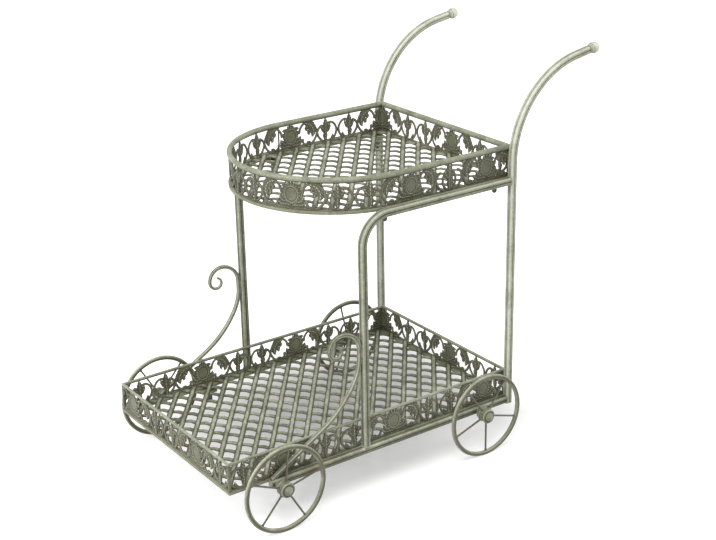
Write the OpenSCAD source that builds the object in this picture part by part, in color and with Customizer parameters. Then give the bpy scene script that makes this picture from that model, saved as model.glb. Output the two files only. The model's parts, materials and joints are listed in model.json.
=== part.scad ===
// Two-tier serving cart: a rectangular lower tray and a round-fronted upper tray, bolted
// between two welded side frames of fluted tube that roll on four spoked wheels.
// X runs along the cart towards the handles, Y across it and Z up.
// The origin is on the floor, under the middle of the cart's length and width.

/* [Trays] */
// Length of the lower tray
tray_len = 702; // [650:1:760]
// Width between the side frames, which both trays fill
tray_w = 448; // [410:1:480]
// Rise from the axles to the lower tray's underside
deck_rise = 6; // [4:0.5:10]
// Rise from the lower tray's underside to the upper tray's underside
tier_gap = 500.5; // [440:0.5:560]
// Length of the upper tray's straight sides, up to the bow
upper_side = 281.5; // [250:0.5:330]
// Height of the pressed sides
gallery_h = 57.5; // [48:0.5:66]
// Thickness of the pressed sides
sheet_t = 1.5; // [1:0.1:2.2]
// Width of the flat bar under the floors' edges
floor_bar_w = 12; // [10:0.5:15]
// Thickness of the flat bar under the floors' edges
floor_bar_t = 6.5; // [4:0.5:8]
// Width of the flat bar under the upper floor's edge
upper_bar_w = 10; // [8:0.5:10.5]
// Width of the bar along the top of the lower tray's sides
edge_bar_w = 4.5; // [3:0.5:7]
// Height of the bar along the top of the lower tray's sides
edge_bar_h = 5; // [3:0.5:8]
// Width of the upright corner bars
corner_bar = 5; // [4:0.5:7]
// Diameter of the upper tray's round rim
rim_tube = 11; // [8:0.5:14]

/* [Floors] */
// Width of a floor strip
strip_w = 12; // [8:0.5:16]
// Thickness of a floor strip
strip_t = 1.5; // [1:0.1:2]
// Distance between the centre lines of neighbouring strips
strip_pitch = 33.4; // [28:0.1:42]
// Slant of the strips against the cart's length
strip_slant = 52; // [42:0.5:60]

/* [Side frames] */
// Width of the square fluted tube
tube = 16; // [14:0.5:20]
// Bore of the fluted tube
tube_bore = 10; // [8:0.1:10.6]
// Corner radius of the fluted tube
tube_corner = 4.5; // [3:0.1:5]
// Radius of the groove along each face of the tube
groove_r = 2; // [1.5:0.1:2.4]
// Depth of the groove along each face of the tube
groove_depth = 1.2; // [0.6:0.1:1.4]
// Distance from the rear leg forward to the front leg
leg_gap = 382; // [330:1:420]
// Bend radius of the front leg into the upper rail
leg_bend = 60; // [40:1:90]
// How far the rails stand up beside the trays' undersides
rail_lap = 8; // [6:0.5:10]
// Straight rise of the rear leg above the upper tray's underside
handle_rise = 37.5; // [15:0.5:80]
// Bend radius of the handle
handle_r = 203; // [150:1:240]
// Turn of the handle's bend from upright towards level
handle_turn = 80; // [70:1:90]
// Length of the straight grip past the bend
handle_grip = 33; // [10:1:80]
// Diameter of the handles' ball knobs
knob_d = 25; // [22:0.5:32]
// Reach of the knob's neck from the tube's end to the ball's centre
knob_neck = 16; // [14:0.5:20]
// Thickness of the caps on the open tube ends
cap_t = 2; // [1:0.5:4]

/* [Scroll braces] */
// Width of the brace's fluted bar
brace = 8.5; // [8.5:1:9.5]
// Slope of the brace where it meets the rail
brace_slope = 30; // [25:1:40]
// Large radius of the curl at the brace's top
curl_r = 42; // [34:1:52]
// Sweep radius below the stretch welded to the leg
sweep_r = 110; // [80:1:140]
// Radius of the long sweep towards the rail
long_sweep_r = 220; // [180:1:240]
// Length of the stretch welded to the leg
weld_len = 15; // [10:1:40]

/* [Wheels] */
// Diameter of the wheels
wheel_d = 188; // [160:1:210]
// Diameter of the rod that the wheel rims are rolled from
rim_rod = 10; // [8:0.5:14]
// Diameter of the spokes
spoke_d = 4; // [3.5:0.5:8]
// Spokes in each wheel
spoke_count = 5; // [4:1:8]
// Diameter of the hubs
hub_d = 31; // [26:0.5:38]
// Width of the hubs along the axle
hub_w = 20.5; // [16:0.5:28]
// Diameter of the stub axles
axle_d = 10; // [8:0.5:12]
// Radial play of the hubs and washers on the stub axles
axle_play = 0.05; // [0.02:0.01:0.09]
// Distance between the front and rear axles
wheel_base = 512; // [460:1:540]
// Distance from the rear leg forward to the rear axle
rear_axle_in = 83; // [60:1:110]
// Width of the welded axle plates
plate_w = 24; // [20:1:40]
// Thickness of the welded axle plates
plate_t = 4; // [3:0.5:6]
// Width of the spacer washers between plate and hub
spacer_w = 3.7; // [2:0.1:8]
// Diameter of the domed nuts
axle_nut_d = 17; // [15:0.5:22]
// Length of the domed nuts
axle_nut_w = 6.7; // [5:0.1:12]

/* [Tray fixings] */
// Distance from the rear leg forward to the lower tray's rear bolts
lower_bolt_rear = 145; // [120:1:180]
// Distance from the rear leg forward to the lower tray's front bolts
lower_bolt_front = 499; // [450:1:530]
// Distance from the rear leg forward to the upper tray's rear bolts
upper_bolt_rear = 24; // [20:1:60]
// Distance from the bow's start forward to the upper tray's front bolts
upper_bolt_ahead = 25.5; // [10:0.5:30]
// Length of the tabs and lugs along the cart
tab_len = 30; // [22:1:40]
// Thickness of the tabs and lugs
tab_t = 3; // [2:0.5:5]
// Diameter of the tray bolts
bolt_d = 6; // [5:0.5:8]
// Diameter of the cap nuts under the lugs
cap_nut_d = 11; // [10:0.5:15]
// Length of the cap nuts under the lugs
cap_nut_len = 24; // [14:1:30]

/* [Hidden] */
$fn = 48;

// Clearances: between turning and standing parts, round bolts, and in the tubes' ends
side_gap = 0.3;
fit_gap = 0.05;
// How far a cut runs past the face that it opens
cut = 1;
// The far side is +Y and the near side is -Y
far = 1;
near = -1;
sage = [0.60, 0.63, 0.50];
sage_dark = [0.42, 0.45, 0.33];
cream = [0.72, 0.73, 0.62];
nut_dark = [0.25, 0.26, 0.22];

// Heights
axle_z = wheel_d / 2;
lower_z = axle_z + deck_rise;
upper_z = lower_z + tier_gap;
rail_top = lower_z + rail_lap;
rail_z = rail_top - tube / 2;
upper_rail_z = upper_z + rail_lap - tube / 2;
handle_z = upper_z + handle_rise;
floor_z = lower_z + floor_bar_t;
upper_floor_z = upper_z + floor_bar_t;
edge_bar_z = floor_z + gallery_h;
rim_z = upper_floor_z + gallery_h + rim_tube / 2;

// Places along the cart
bend_reach = handle_r * (1 - cos(handle_turn));
handle_reach = bend_reach + (handle_grip + knob_neck) * sin(handle_turn);
total_len = tray_len + handle_reach + knob_d / 2;
front_x = -total_len / 2;
rear_x = front_x + tray_len;
front_leg_x = rear_x - leg_gap;
rear_axle_x = rear_x - rear_axle_in;
front_axle_x = rear_axle_x - wheel_base;
rail_past_plate = 5;
rail_front_x = front_axle_x - plate_w / 2 - rail_past_plate;
bow_x = rear_x - upper_side;

// Ends of the handle's bend and of its grip, as places along the cart and heights
handle_end = [rear_x + bend_reach, handle_z + handle_r * sin(handle_turn)];
grip_end = handle_end + handle_grip * [sin(handle_turn), cos(handle_turn)];
grip_hairline = 0.05;

// Places across the cart
half_w = tray_w / 2;
frame_y = half_w + tube / 2;
bow_r = half_w - rim_tube / 2;
plate_y = half_w + tube;
spacer_y = plate_y + plate_t;
hub_y = spacer_y + spacer_w + side_gap;
washer_y = hub_y + hub_w + side_gap;
washer_t = 1.5;
nut_y = washer_y + washer_t;

// Profile of the fluted tube and bar: a square with round corners and a groove along each
// face. The rounding is cut by the corners' own circles, so a bend or a straight keeps them.
module fluted_profile(size, corner, flute_r, flute_depth, bore = 0) {
  side = size / 2 - corner;
  difference() {
    union() {
      square([size, 2 * side], center = true);
      square([2 * side, size], center = true);
      for (x = [-side, side], y = [-side, side])
        translate([x, y]) circle(corner);
    }
    for (turn = [0 : 90 : 270])
      rotate(turn) translate([size / 2 + flute_r - flute_depth, 0]) circle(flute_r);
    if (bore > 0)
      circle(d = bore);
  }
}

module tube_profile() {
  fluted_profile(tube, tube_corner, groove_r, groove_depth, tube_bore);
}

// A straight run of a profile along +Z from the point at
module run_up(at, length) {
  translate(at) linear_extrude(length) children();
}

// A bend in the plane of X and Z, round the centre at, from the angle from over the angle sweep
module bend(at, radius, from, sweep) {
  translate(at) rotate([90, 0, 0]) rotate([0, 0, from])
    rotate_extrude(angle = sweep) translate([radius, 0]) children();
}

// A bend that goes on from a run up, over the angle sweep towards +X, round the centre at
module bend_over(at, radius, sweep) {
  translate(at) rotate([90, 0, 0]) mirror([1, 0, 0])
    rotate_extrude(angle = sweep) translate([radius, 0]) children();
}

// Puts what is drawn for the far side on the chosen side
module on_side(side) {
  mirror([0, side == near ? 1 : 0, 0]) children();
}

// Rear leg and handle of one tube. Only a hairline parts the straight grip from the bend.
module rear_post(side) {
  color(sage) on_side(side) {
    run_up([rear_x, frame_y, rail_z - tube / 2], handle_z - rail_z + tube / 2) tube_profile();
    bend_over([rear_x + handle_r, frame_y, handle_z], handle_r, handle_turn) tube_profile();
    along_grip(handle_end)
      run_up([0, 0, grip_hairline], handle_grip - grip_hairline) tube_profile();
  }
}

// Turns what stands on +Z along the handle's grip, from the point at on the frame's plane
module along_grip(at) {
  translate([at[0], frame_y, at[1]]) rotate([0, handle_turn, 0]) children();
}

// Front leg, bent over into the upper rail, which ends on the rear leg
module front_post(side) {
  bend_x = front_leg_x + leg_bend;
  bend_z = upper_rail_z - leg_bend;
  color(sage) on_side(side) {
    run_up([front_leg_x, frame_y, rail_top], bend_z - rail_top) tube_profile();
    bend([bend_x, frame_y, bend_z], leg_bend, 90, 90) tube_profile();
    translate([bend_x, frame_y, upper_rail_z]) rotate([0, 90, 0])
      linear_extrude(rear_x - tube / 2 - bend_x) tube_profile();
  }
}

// Lower rail, which carries both axle plates and ends on the rear leg
module side_rail(side) {
  color(sage) on_side(side)
    translate([rail_front_x, frame_y, rail_z]) rotate([0, 90, 0])
      linear_extrude(rear_x - tube / 2 - rail_front_x) tube_profile();
}

// Ball knob with a neck that flares from the tube's width, and a spigot in the handle's end
module handle_knob(side) {
  spigot_len = 12;
  spigot_r = tube_bore / 2 - fit_gap;
  flare_r = knob_d / 2 - 1.7;
  flare_len = knob_neck - 6.5;
  flare_steps = 6;
  color(cream) on_side(side) along_grip(grip_end)
    rotate_extrude() difference() {
      union() {
        translate([0, knob_neck]) circle(d = knob_d);
        polygon(concat([[0, 0]], [for (i = [0 : flare_steps]) let(t = i / flare_steps)
          [tube / 2 + (flare_r - tube / 2) * t * t, flare_len * t]], [[0, flare_len]]));
        translate([0, -spigot_len]) square([spigot_r, spigot_len]);
      }
      translate([-knob_d, -knob_d]) square([knob_d, 3 * knob_d]);
    }
}

// Scroll brace: a curl above the stretch welded to the front leg, a sweep below it, and a
// straight foot cut off on the rail's top and level with the rail's front end
module scroll_brace(side) {
  corner = brace * 0.27;
  flute_r = brace * 0.13;
  steep = 90 - 2 * brace_slope;
  x = front_leg_x - tube / 2 - brace / 2;
  // The sweep turns the bar by brace_slope, and the long sweep by what is left to the foot
  knee_x = x - sweep_r * (1 - cos(brace_slope));
  knee_drop = sweep_r * sin(brace_slope);
  bar_x = knee_x - long_sweep_r * (cos(brace_slope) - cos(brace_slope + steep));
  bar_drop = knee_drop + long_sweep_r * (sin(brace_slope + steep) - sin(brace_slope));
  foot_x = rail_front_x + 3;
  // Block that cuts the foot off, as large as the brace needs
  block = 4 * tube + long_sweep_r;
  foot_drop = (bar_x - foot_x) * tan(brace_slope);
  weld_z = rail_top + foot_drop + bar_drop;
  curl_z = weld_z + weld_len;
  // Each part of the curl is tighter than the one before it
  curl_r2 = curl_r - 12;
  curl_r3 = curl_r2 - 13;
  curl_r4 = curl_r3 - 5;
  centre2 = [x - curl_r, curl_z + curl_r - curl_r2];
  centre3 = [centre2[0] - curl_r2 + curl_r3, centre2[1]];
  centre4 = [centre3[0], centre3[1] - curl_r3 + curl_r4];
  color(sage) on_side(side) translate([0, frame_y, 0]) {
    bend([x - curl_r, 0, curl_z], curl_r, 0, 90) brace_profile(corner, flute_r);
    bend([centre2[0], 0, centre2[1]], curl_r2, 90, 90) brace_profile(corner, flute_r);
    bend([centre3[0], 0, centre3[1]], curl_r3, 180, 90) brace_profile(corner, flute_r);
    bend([centre4[0], 0, centre4[1]], curl_r4, 270, 170) brace_profile(corner, flute_r);
    run_up([x, 0, weld_z], weld_len) brace_profile(corner, flute_r);
    bend([x - sweep_r, 0, weld_z], sweep_r, -brace_slope, brace_slope)
      brace_profile(corner, flute_r);
    bend([knee_x - long_sweep_r * cos(brace_slope), 0,
          weld_z - knee_drop + long_sweep_r * sin(brace_slope)],
         long_sweep_r, -brace_slope - steep, steep) brace_profile(corner, flute_r);
    difference() {
      translate([bar_x, 0, weld_z - bar_drop]) rotate([0, -90 - brace_slope, 0])
        linear_extrude((bar_x - foot_x) / cos(brace_slope) + 2 * brace)
          brace_profile(corner, flute_r);
      translate([rail_front_x - block, -brace, rail_top - block])
        cube([2 * block, 2 * brace, block]);
      translate([rail_front_x - block, -brace, rail_top - cut])
        cube([block, 2 * brace, block]);
    }
  }
}

module brace_profile(corner, flute_r) {
  fluted_profile(brace, corner, flute_r, flute_r / 2);
}

// Caps with a plug in the rails' front ends and the rear legs' lower ends
module tube_caps() {
  plug_len = 8;
  color(sage_dark) for (side = [near, far]) on_side(side) {
    translate([rail_front_x, frame_y, rail_z]) rotate([0, -90, 0]) tube_cap(plug_len);
    translate([rear_x, frame_y, rail_z - tube / 2]) rotate([180, 0, 0]) tube_cap(plug_len);
  }
}

module tube_cap(plug_len) {
  cap_inset = 1;
  linear_extrude(cap_t) square(tube - 2 * cap_inset, center = true);
  translate([0, 0, -plug_len]) cylinder(d = tube_bore - 2 * fit_gap, h = plug_len);
}

// Repeats what is drawn round a far-side axle, which points along +Y, at all four wheels
module at_axles() {
  for (side = [near, far], x = [front_axle_x, rear_axle_x])
    on_side(side) translate([x, 0, axle_z]) children();
}

// Turns what stands on +Z towards +Y, from the distance y across the cart
module across(y) {
  translate([0, y, 0]) rotate([-90, 0, 0]) children();
}

// Plates welded to the rails' outer faces, up to the rails' top, with a round lower end
module axle_plates() {
  color(sage_dark) at_axles() {
    translate([-plate_w / 2, plate_y, 0]) cube([plate_w, plate_t, rail_top - axle_z]);
    across(plate_y) cylinder(d = plate_w, h = plate_t);
  }
}

// Stub axles, welded to the plates, which end inside the domed nuts
axle_in_nut = axle_nut_w * 0.8;

module axle_studs() {
  color(nut_dark) at_axles() across(spacer_y)
    cylinder(d = axle_d, h = nut_y - spacer_y + axle_in_nut);
}

// A flat ring that sits on a stub axle
module axle_ring(outer_d, thickness) {
  difference() {
    cylinder(d = outer_d, h = thickness);
    translate([0, 0, -cut]) cylinder(d = axle_d + 2 * axle_play, h = thickness + 2 * cut);
  }
}

module axle_spacers() {
  color(sage_dark) at_axles() across(spacer_y) axle_ring(axle_nut_d, spacer_w);
}

module axle_washers() {
  washer_d = axle_nut_d + 2;
  color(sage_dark) at_axles() across(washer_y) axle_ring(washer_d, washer_t);
}

// Domed nuts with a blind hole over the stub axles' ends
module axle_nuts() {
  color(sage_dark) at_axles() across(nut_y) difference() {
    rotate_extrude() polygon(domed_outline(axle_nut_d / 2, axle_nut_w));
    translate([0, 0, -cut]) cylinder(d = axle_d + 2 * fit_gap, h = axle_in_nut + cut + fit_gap);
  }
}

// Half outline of a dome with a short straight wall
function domed_outline(r, h, wall = 0.35, steps = 8) = concat(
  [[0, 0], [r, 0]],
  [for (i = [0 : steps]) let(a = 90 * i / steps)
    [r * cos(a), h * wall + h * (1 - wall) * sin(a)]]
);

// Wheel places: front or rear, near or far
module at_wheel(x, side) {
  on_side(side) translate([x, hub_y + hub_w / 2, axle_z]) children();
}

// Rim rolled from round rod
module wheel_rim(x, side) {
  color(cream) at_wheel(x, side) rotate([90, 0, 0])
    rotate_extrude($fn = 96) translate([(wheel_d - rim_rod) / 2, 0]) circle(d = rim_rod);
}

// Round spokes. turn is the first spoke's angle above +X.
module wheel_spokes(x, side, turn) {
  color(cream) at_wheel(x, side)
    for (k = [0 : spoke_count - 1])
      rotate([0, -turn - k * 360 / spoke_count, 0]) wheel_spoke();
}

// One spoke along +X, coped onto the hub and onto the rim, which is as good as straight there
module wheel_spoke() {
  rim_r = (wheel_d - rim_rod) / 2;
  difference() {
    rotate([0, 90, 0]) cylinder(d = spoke_d, h = rim_r - rim_rod / 2 + cut);
    rotate([90, 0, 0]) cylinder(d = hub_d, h = hub_w, center = true);
    translate([rim_r, 0, 0]) cylinder(d = rim_rod, h = 2 * spoke_d, center = true);
  }
}

// Turned hub with a stepped outer face, bored for the stub axle
module wheel_hub(x, side) {
  bevel = 1.5;
  color(sage) at_wheel(x, side) rotate([90, 0, 0]) difference() {
    rotate_extrude() polygon([
      [0, -hub_w / 2], [hub_d / 2 - bevel, -hub_w / 2], [hub_d / 2, bevel - hub_w / 2],
      [hub_d / 2, hub_w / 2 - bevel], [hub_d / 2 - bevel, hub_w / 2], [0, hub_w / 2]]);
    translate([0, 0, -hub_w]) cylinder(d = axle_d + 2 * axle_play, h = 2 * hub_w);
  }
}

// Flat rectangle from a corner with the size [x, y]
module rect(corner, size) {
  translate(corner) square(size);
}

// Ring between an outline of the size [x, y] from corner and the same, inset by width
module rect_ring(corner, size, width) {
  difference() {
    rect(corner, size);
    rect([corner[0] + width, corner[1] + width], [size[0] - 2 * width, size[1] - 2 * width]);
  }
}

lower_corner = [front_x, -half_w];
lower_size = [tray_len, tray_w];

module lower_bottom_frame() {
  color(sage_dark) translate([0, 0, lower_z]) linear_extrude(floor_bar_t)
    rect_ring(lower_corner, lower_size, floor_bar_w);
}

module lower_edge_bar() {
  color(cream) translate([0, 0, edge_bar_z]) linear_extrude(edge_bar_h)
    rect_ring(lower_corner, lower_size, edge_bar_w);
}

module lower_corner_bars() {
  color(sage) for (side = [near, far]) on_side(side)
    for (x = [front_x, rear_x - corner_bar])
      translate([x, half_w - corner_bar, floor_z]) cube([corner_bar, corner_bar, gallery_h]);
}

// The pressed sides are cut from one long ornament. u runs along it and v up it, in
// millimetres, and the motifs are drawn for a side motif_h high.
motif_h = 57.5;
motif_period = 250;
// Bands along the foot, the top, the ends and the bow's creases, and the width of the slits
// that are closed
foot_band = 2.6;
top_band = 1.2;
end_band = 1.5;
crease_band = 0.6;
slit = 0.5;

// Medallions along the sides: from the rear leg forward, or across from the near side
lower_near_marks = [62, 302, 575];
lower_far_marks = [6, 256, 504];
lower_front_marks = [129, 400];
lower_rear_marks = [189, 439];
// Round the upper tray, from its near rear corner over the bow to its far rear corner
upper_marks = [60, 253, 503, 749, 1002];
upper_rear_marks = [184, 434];

// The given medallions, with the pattern carried on past both ends
function carried_on(marks) = concat(
  [for (k = [3 : -1 : 1]) marks[0] - k * motif_period],
  marks,
  [for (k = [1 : 3]) marks[len(marks) - 1] + k * motif_period]
);

// Serrated leaf along +X: half width at the share t of its length, and its outline
function leaf_half(t, width, lobes) =
  width / 2 * sin(180 * pow(t, 0.8)) * (0.8 + 0.2 * abs(cos(180 * lobes * t)));
function leaf_outline(length, width, lobes, steps) = concat(
  [for (i = [0 : steps]) let(t = i / steps) [length * t, leaf_half(t, width, lobes)]],
  [for (i = [steps - 1 : -1 : 1]) let(t = i / steps) [length * t, -leaf_half(t, width, lobes)]]
);

// Band of the width w along an arc from the angle a0 to a1
function arc_outline(r, a0, a1, w, steps) = concat(
  [for (i = [0 : steps]) let(a = a0 + (a1 - a0) * i / steps) (r + w / 2) * [cos(a), sin(a)]],
  [for (i = [steps : -1 : 0]) let(a = a0 + (a1 - a0) * i / steps) (r - w / 2) * [cos(a), sin(a)]]
);

module leaf(at, turn, length, width, lobes = 2) {
  translate(at) rotate(turn) polygon(leaf_outline(length, width, lobes, 2 * lobes));
}

module arc_band(at, r, a0, a1, w, steps) {
  translate(at) polygon(arc_outline(r, a0, a1, w, steps));
}

// Medallion: a scalloped disc, a bud on top, a foot and two spreading leaves
module medallion() {
  petals = 12;
  translate([0, 32])
    polygon([for (k = [0 : 2 * petals - 1]) let(r = k % 2 == 0 ? 19.5 : 17, a = k * 180 / petals)
      [r * cos(a), r * sin(a)]]);
  leaf([0, 44], 90, 16, 12);
  polygon([[-10, 0], [10, 0], [6, 18], [-6, 18]]);
  for (flip = [0, 1]) mirror([flip, 0]) {
    leaf([2, 13], -16, 38, 11, 3);
    leaf([10, 20], 20, 22, 9);
  }
}

// Open ring beside a medallion on a small foot, with a leaf that hangs from its crown
module hooked_ring() {
  arc_band([0, 31], 20, -132, 205, 4.5, 11);
  polygon([[-7, 0], [9, 0], [4, 12], [-2, 12]]);
  leaf([14, 52], 222, 34, 17, 3);
}

// Two stems that cross between the rings and the loops, with a leaf in the fork
module crossed_stems() {
  for (flip = [0, 1]) mirror([flip, 0]) {
    arc_band([-34, 29], 37, -54, 36, 4, 6);
    leaf([2, 40], 62, 18, 10);
  }
}

// Upright loop round a bud, with a smaller bud on top
module bud_loop() {
  translate([0, 27]) difference() {
    scale([1, 1.18]) circle(21, $fn = 16);
    scale([1, 1.2]) circle(17, $fn = 16);
  }
  leaf([0, 1], 90, 44, 19, 3);
  leaf([0, 46], 90, 13, 9);
}

// The motifs between the medallions at m0 and m1: a ring beside each, and a pair of loops
// between crossed stems, or one loop where the medallions are closer together
module between_medallions(m0, m1) {
  span = m1 - m0;
  s = span / motif_period;
  ring_at = max(54 * s, 46);
  roomy = span > 0.88 * motif_period;
  loop_at = roomy ? 105 * s : span / 2;
  for (flip = [0, 1])
    translate([flip == 0 ? m0 : m1, 0]) mirror([flip, 0]) {
      translate([ring_at, 0]) hooked_ring();
      if (roomy) {
        translate([loop_at, 0]) bud_loop();
        translate([(ring_at + loop_at) / 2, 0]) crossed_stems();
      }
    }
  if (!roomy)
    translate([m0 + loop_at, 0]) bud_loop();
}

// The ornament from u0 to u1, moved back to start at u = 0. ends holds the widths of the
// bands at its two ends.
module ornament(marks, u0, u1, ends) {
  all = carried_on(marks);
  reach = 50;
  scale([1, gallery_h / motif_h]) offset(delta = -slit / 2) offset(delta = slit / 2)
    intersection() {
      square([u1 - u0, motif_h]);
      union() {
        square([u1 - u0, foot_band]);
        translate([0, motif_h - top_band]) square([u1 - u0, top_band]);
        square([ends[0], motif_h]);
        translate([u1 - u0 - ends[1], 0]) square([ends[1], motif_h]);
        translate([-u0, 0]) {
          for (k = [0 : len(all) - 1])
            if (all[k] > u0 - reach && all[k] < u1 + reach)
              translate([all[k], 0]) medallion();
          for (k = [0 : len(all) - 2])
            if (all[k + 1] > u0 && all[k] < u1)
              between_medallions(all[k], all[k + 1]);
        }
      }
    }
}

// A pressed side of the ornament from u0 to u1, standing on Z = 0 and running along +X, its
// faces at Y = 0 and Y = sheet_t
module gallery(marks, u0, u1, ends = [end_band, end_band]) {
  translate([0, sheet_t, 0]) rotate([90, 0, 0]) linear_extrude(sheet_t)
    ornament(marks, u0, u1, ends);
}

// A side of the lower tray along the cart. u runs from the rear leg forward.
module lower_side(side, marks) {
  color(sage) on_side(side)
    translate([rear_x - corner_bar, half_w - sheet_t, floor_z]) mirror([1, 0, 0])
      gallery(marks, corner_bar, tray_len - corner_bar);
}

// A side of the lower tray across the cart. u runs from the near side.
module lower_end(x, marks) {
  color(sage) translate([x, corner_bar - half_w, floor_z]) rotate([0, 0, 90])
    gallery(marks, corner_bar, tray_w - corner_bar);
}

module lower_gallery_near() {
  lower_side(near, lower_near_marks);
}

module lower_gallery_far() {
  lower_side(far, lower_far_marks);
}

module lower_gallery_front() {
  lower_end(front_x + sheet_t, lower_front_marks);
}

module lower_gallery_rear() {
  lower_end(rear_x, lower_rear_marks);
}

// Floor strips of one slant, filling the outline that is drawn as the child. The middle of
// one strip passes through the point at.
module strips(at, slant, reach) {
  count = ceil(reach / strip_pitch);
  linear_extrude(strip_t) intersection() {
    union() for (k = [-count : count])
      translate(at) rotate(slant) translate([-reach, k * strip_pitch - strip_w / 2])
        square([2 * reach, strip_w]);
    children();
  }
}

// Clearance round the floors, inside the pressed sides, and a strip length past both corners
floor_gap = 0.4;
strip_reach = (tray_len + tray_w) * 0.62;
lower_strip_at = [front_x + tray_len / 2, 13];
upper_strip_at = [bow_x + 20, 21];

module lower_floor_outline() {
  inset = sheet_t + floor_gap;
  notch = corner_bar + floor_gap;
  difference() {
    rect([front_x + inset, inset - half_w], [tray_len - 2 * inset, tray_w - 2 * inset]);
    for (x = [front_x, rear_x - notch], y = [-half_w, half_w - notch])
      translate([x, y]) square(notch);
  }
}

module lower_weave_a() {
  color(sage) translate([0, 0, floor_z + strip_t])
    strips(lower_strip_at, strip_slant, strip_reach) lower_floor_outline();
}

module lower_weave_b() {
  color(cream) translate([0, 0, floor_z])
    strips(lower_strip_at, -strip_slant, strip_reach) lower_floor_outline();
}

// Outline of the upper tray at the distance r from its bow's centre, up to the line x
module bow_outline(r, x) {
  intersection() {
    union() {
      translate([bow_x, 0]) circle(r, $fn = 128);
      rect([bow_x, -r], [x - bow_x, 2 * r]);
    }
    rect([bow_x - r - cut, -r - cut], [x - bow_x + r + cut, 2 * r + 2 * cut]);
  }
}

module upper_bottom_frame() {
  color(sage_dark) translate([0, 0, upper_z]) linear_extrude(floor_bar_t) difference() {
    bow_outline(bow_r + upper_bar_w / 2, rear_x + upper_bar_w / 2);
    bow_outline(bow_r - upper_bar_w / 2, rear_x - upper_bar_w / 2);
  }
}

// Round rim over the bow and along both sides, mitred at the rear corners
module upper_rim() {
  color(cream) difference() {
    union() {
      translate([bow_x, 0, rim_z]) rotate([0, 0, 90])
        rotate_extrude(angle = 180, $fn = 128) translate([bow_r, 0]) circle(d = rim_tube);
      for (y = [-bow_r, bow_r])
        translate([bow_x, y, rim_z]) rotate([0, 90, 0])
          cylinder(d = rim_tube, h = upper_side + rim_tube);
    }
    mitre_block(far);
    mitre_block(near);
  }
}

// Block beyond the mitre plane of a rear corner, on the rear bar's side of it
module mitre_block(side) {
  size = 4 * rim_tube;
  on_side(side) translate([rear_x, bow_r, rim_z]) rotate([0, 0, -45])
    translate([0, -size / 2, -size / 2]) cube([size, size, size]);
}

// Round bar across the rear, mitred to the rim
module upper_rear_rim() {
  size = 4 * rim_tube;
  color(cream) difference() {
    translate([rear_x, 0, rim_z]) rotate([90, 0, 0])
      cylinder(d = rim_tube, h = 2 * bow_r + 2 * rim_tube, center = true);
    for (side = [near, far]) on_side(side)
      translate([rear_x, bow_r, rim_z]) rotate([0, 0, 135])
        translate([0, -size / 2, -size / 2]) cube([size, size, size]);
  }
}

module upper_corner_bars() {
  color(sage) for (side = [near, far]) on_side(side)
    translate([rear_x - corner_bar / 2, bow_r - corner_bar / 2, upper_floor_z])
      cube([corner_bar, corner_bar, gallery_h]);
}

// Flat facets that follow the bow. Their middles lie on the rim's radius.
bow_facets = 14;
facet_angle = 180 / bow_facets;
facet_w = 2 * bow_r * tan(facet_angle / 2);
// Length spare for the mitres, and the hairline that the mitres leave open
mitre_spare = 0.2;
facet_gap = 0.1;

module upper_gallery_near() {
  color(sage) translate([rear_x - corner_bar / 2, -bow_r - sheet_t / 2, upper_floor_z])
    mirror([1, 0, 0]) gallery(upper_marks, corner_bar / 2, upper_side);
}

module upper_gallery_far() {
  start = upper_side + bow_facets * facet_w;
  color(sage) translate([bow_x, bow_r - sheet_t / 2, upper_floor_z])
    gallery(upper_marks, start, start + upper_side - corner_bar / 2);
}

// The facets are mitred where they meet, with a narrow band on each side of the crease
module upper_gallery_bow() {
  color(sage) for (k = [0 : bow_facets - 1]) {
    u0 = upper_side + k * facet_w;
    ends = [k == 0 ? end_band : crease_band, k == bow_facets - 1 ? end_band : crease_band];
    translate([bow_x, 0, upper_floor_z]) rotate([0, 0, -(k + 0.5) * facet_angle])
      intersection() {
        translate([facet_w / 2 + mitre_spare, -bow_r - sheet_t / 2, 0]) mirror([1, 0, 0])
          gallery(upper_marks, u0 - mitre_spare, u0 + facet_w + mitre_spare, ends);
        translate([0, -facet_gap / 2 / sin(facet_angle / 2), 0]) linear_extrude(gallery_h)
          polygon([[0, 0], [-facet_w, -2 * bow_r], [facet_w, -2 * bow_r]]);
      }
  }
}

module upper_gallery_rear() {
  color(sage) translate([rear_x + sheet_t / 2, corner_bar / 2 - bow_r, upper_floor_z])
    rotate([0, 0, 90]) gallery(upper_rear_marks, corner_bar / 2, 2 * bow_r - corner_bar / 2);
}

module upper_floor_outline() {
  inset = sheet_t / 2 + floor_gap;
  notch = corner_bar / 2 + floor_gap;
  difference() {
    bow_outline(bow_r - inset, rear_x - inset);
    for (side = [near, far])
      translate([rear_x - notch, side * bow_r - notch]) square([2 * notch, 2 * notch]);
  }
}

module upper_weave_a() {
  color(sage) translate([0, 0, upper_floor_z + strip_t])
    strips(upper_strip_at, strip_slant, strip_reach) upper_floor_outline();
}

module upper_weave_b() {
  color(cream) translate([0, 0, upper_floor_z])
    strips(upper_strip_at, -strip_slant, strip_reach) upper_floor_outline();
}

// Tray fixings: tabs welded under the tray, on lugs welded to the rails, with a bolt whose
// head sits beside the floor bar and a long cap nut below
bolt_head_d = 10;
bolt_head_h = floor_bar_t * 0.6;
bolt_clear = 3;
tab_inset = 5;
lug_step = 2;
bolt_y = half_w - floor_bar_w - bolt_head_d / 2 - bolt_clear;
tab_y0 = bolt_y - bolt_head_d;
lower_bolts_x = [rear_x - lower_bolt_front, rear_x - lower_bolt_rear];
upper_bolts_x = [bow_x - upper_bolt_ahead, rear_x - upper_bolt_rear];

// Repeats what is drawn for a far-side fixing, from the tray's underside at the height z
module at_fixings(places, z) {
  for (side = [near, far], x = places)
    on_side(side) translate([x, 0, z]) children();
}

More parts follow.
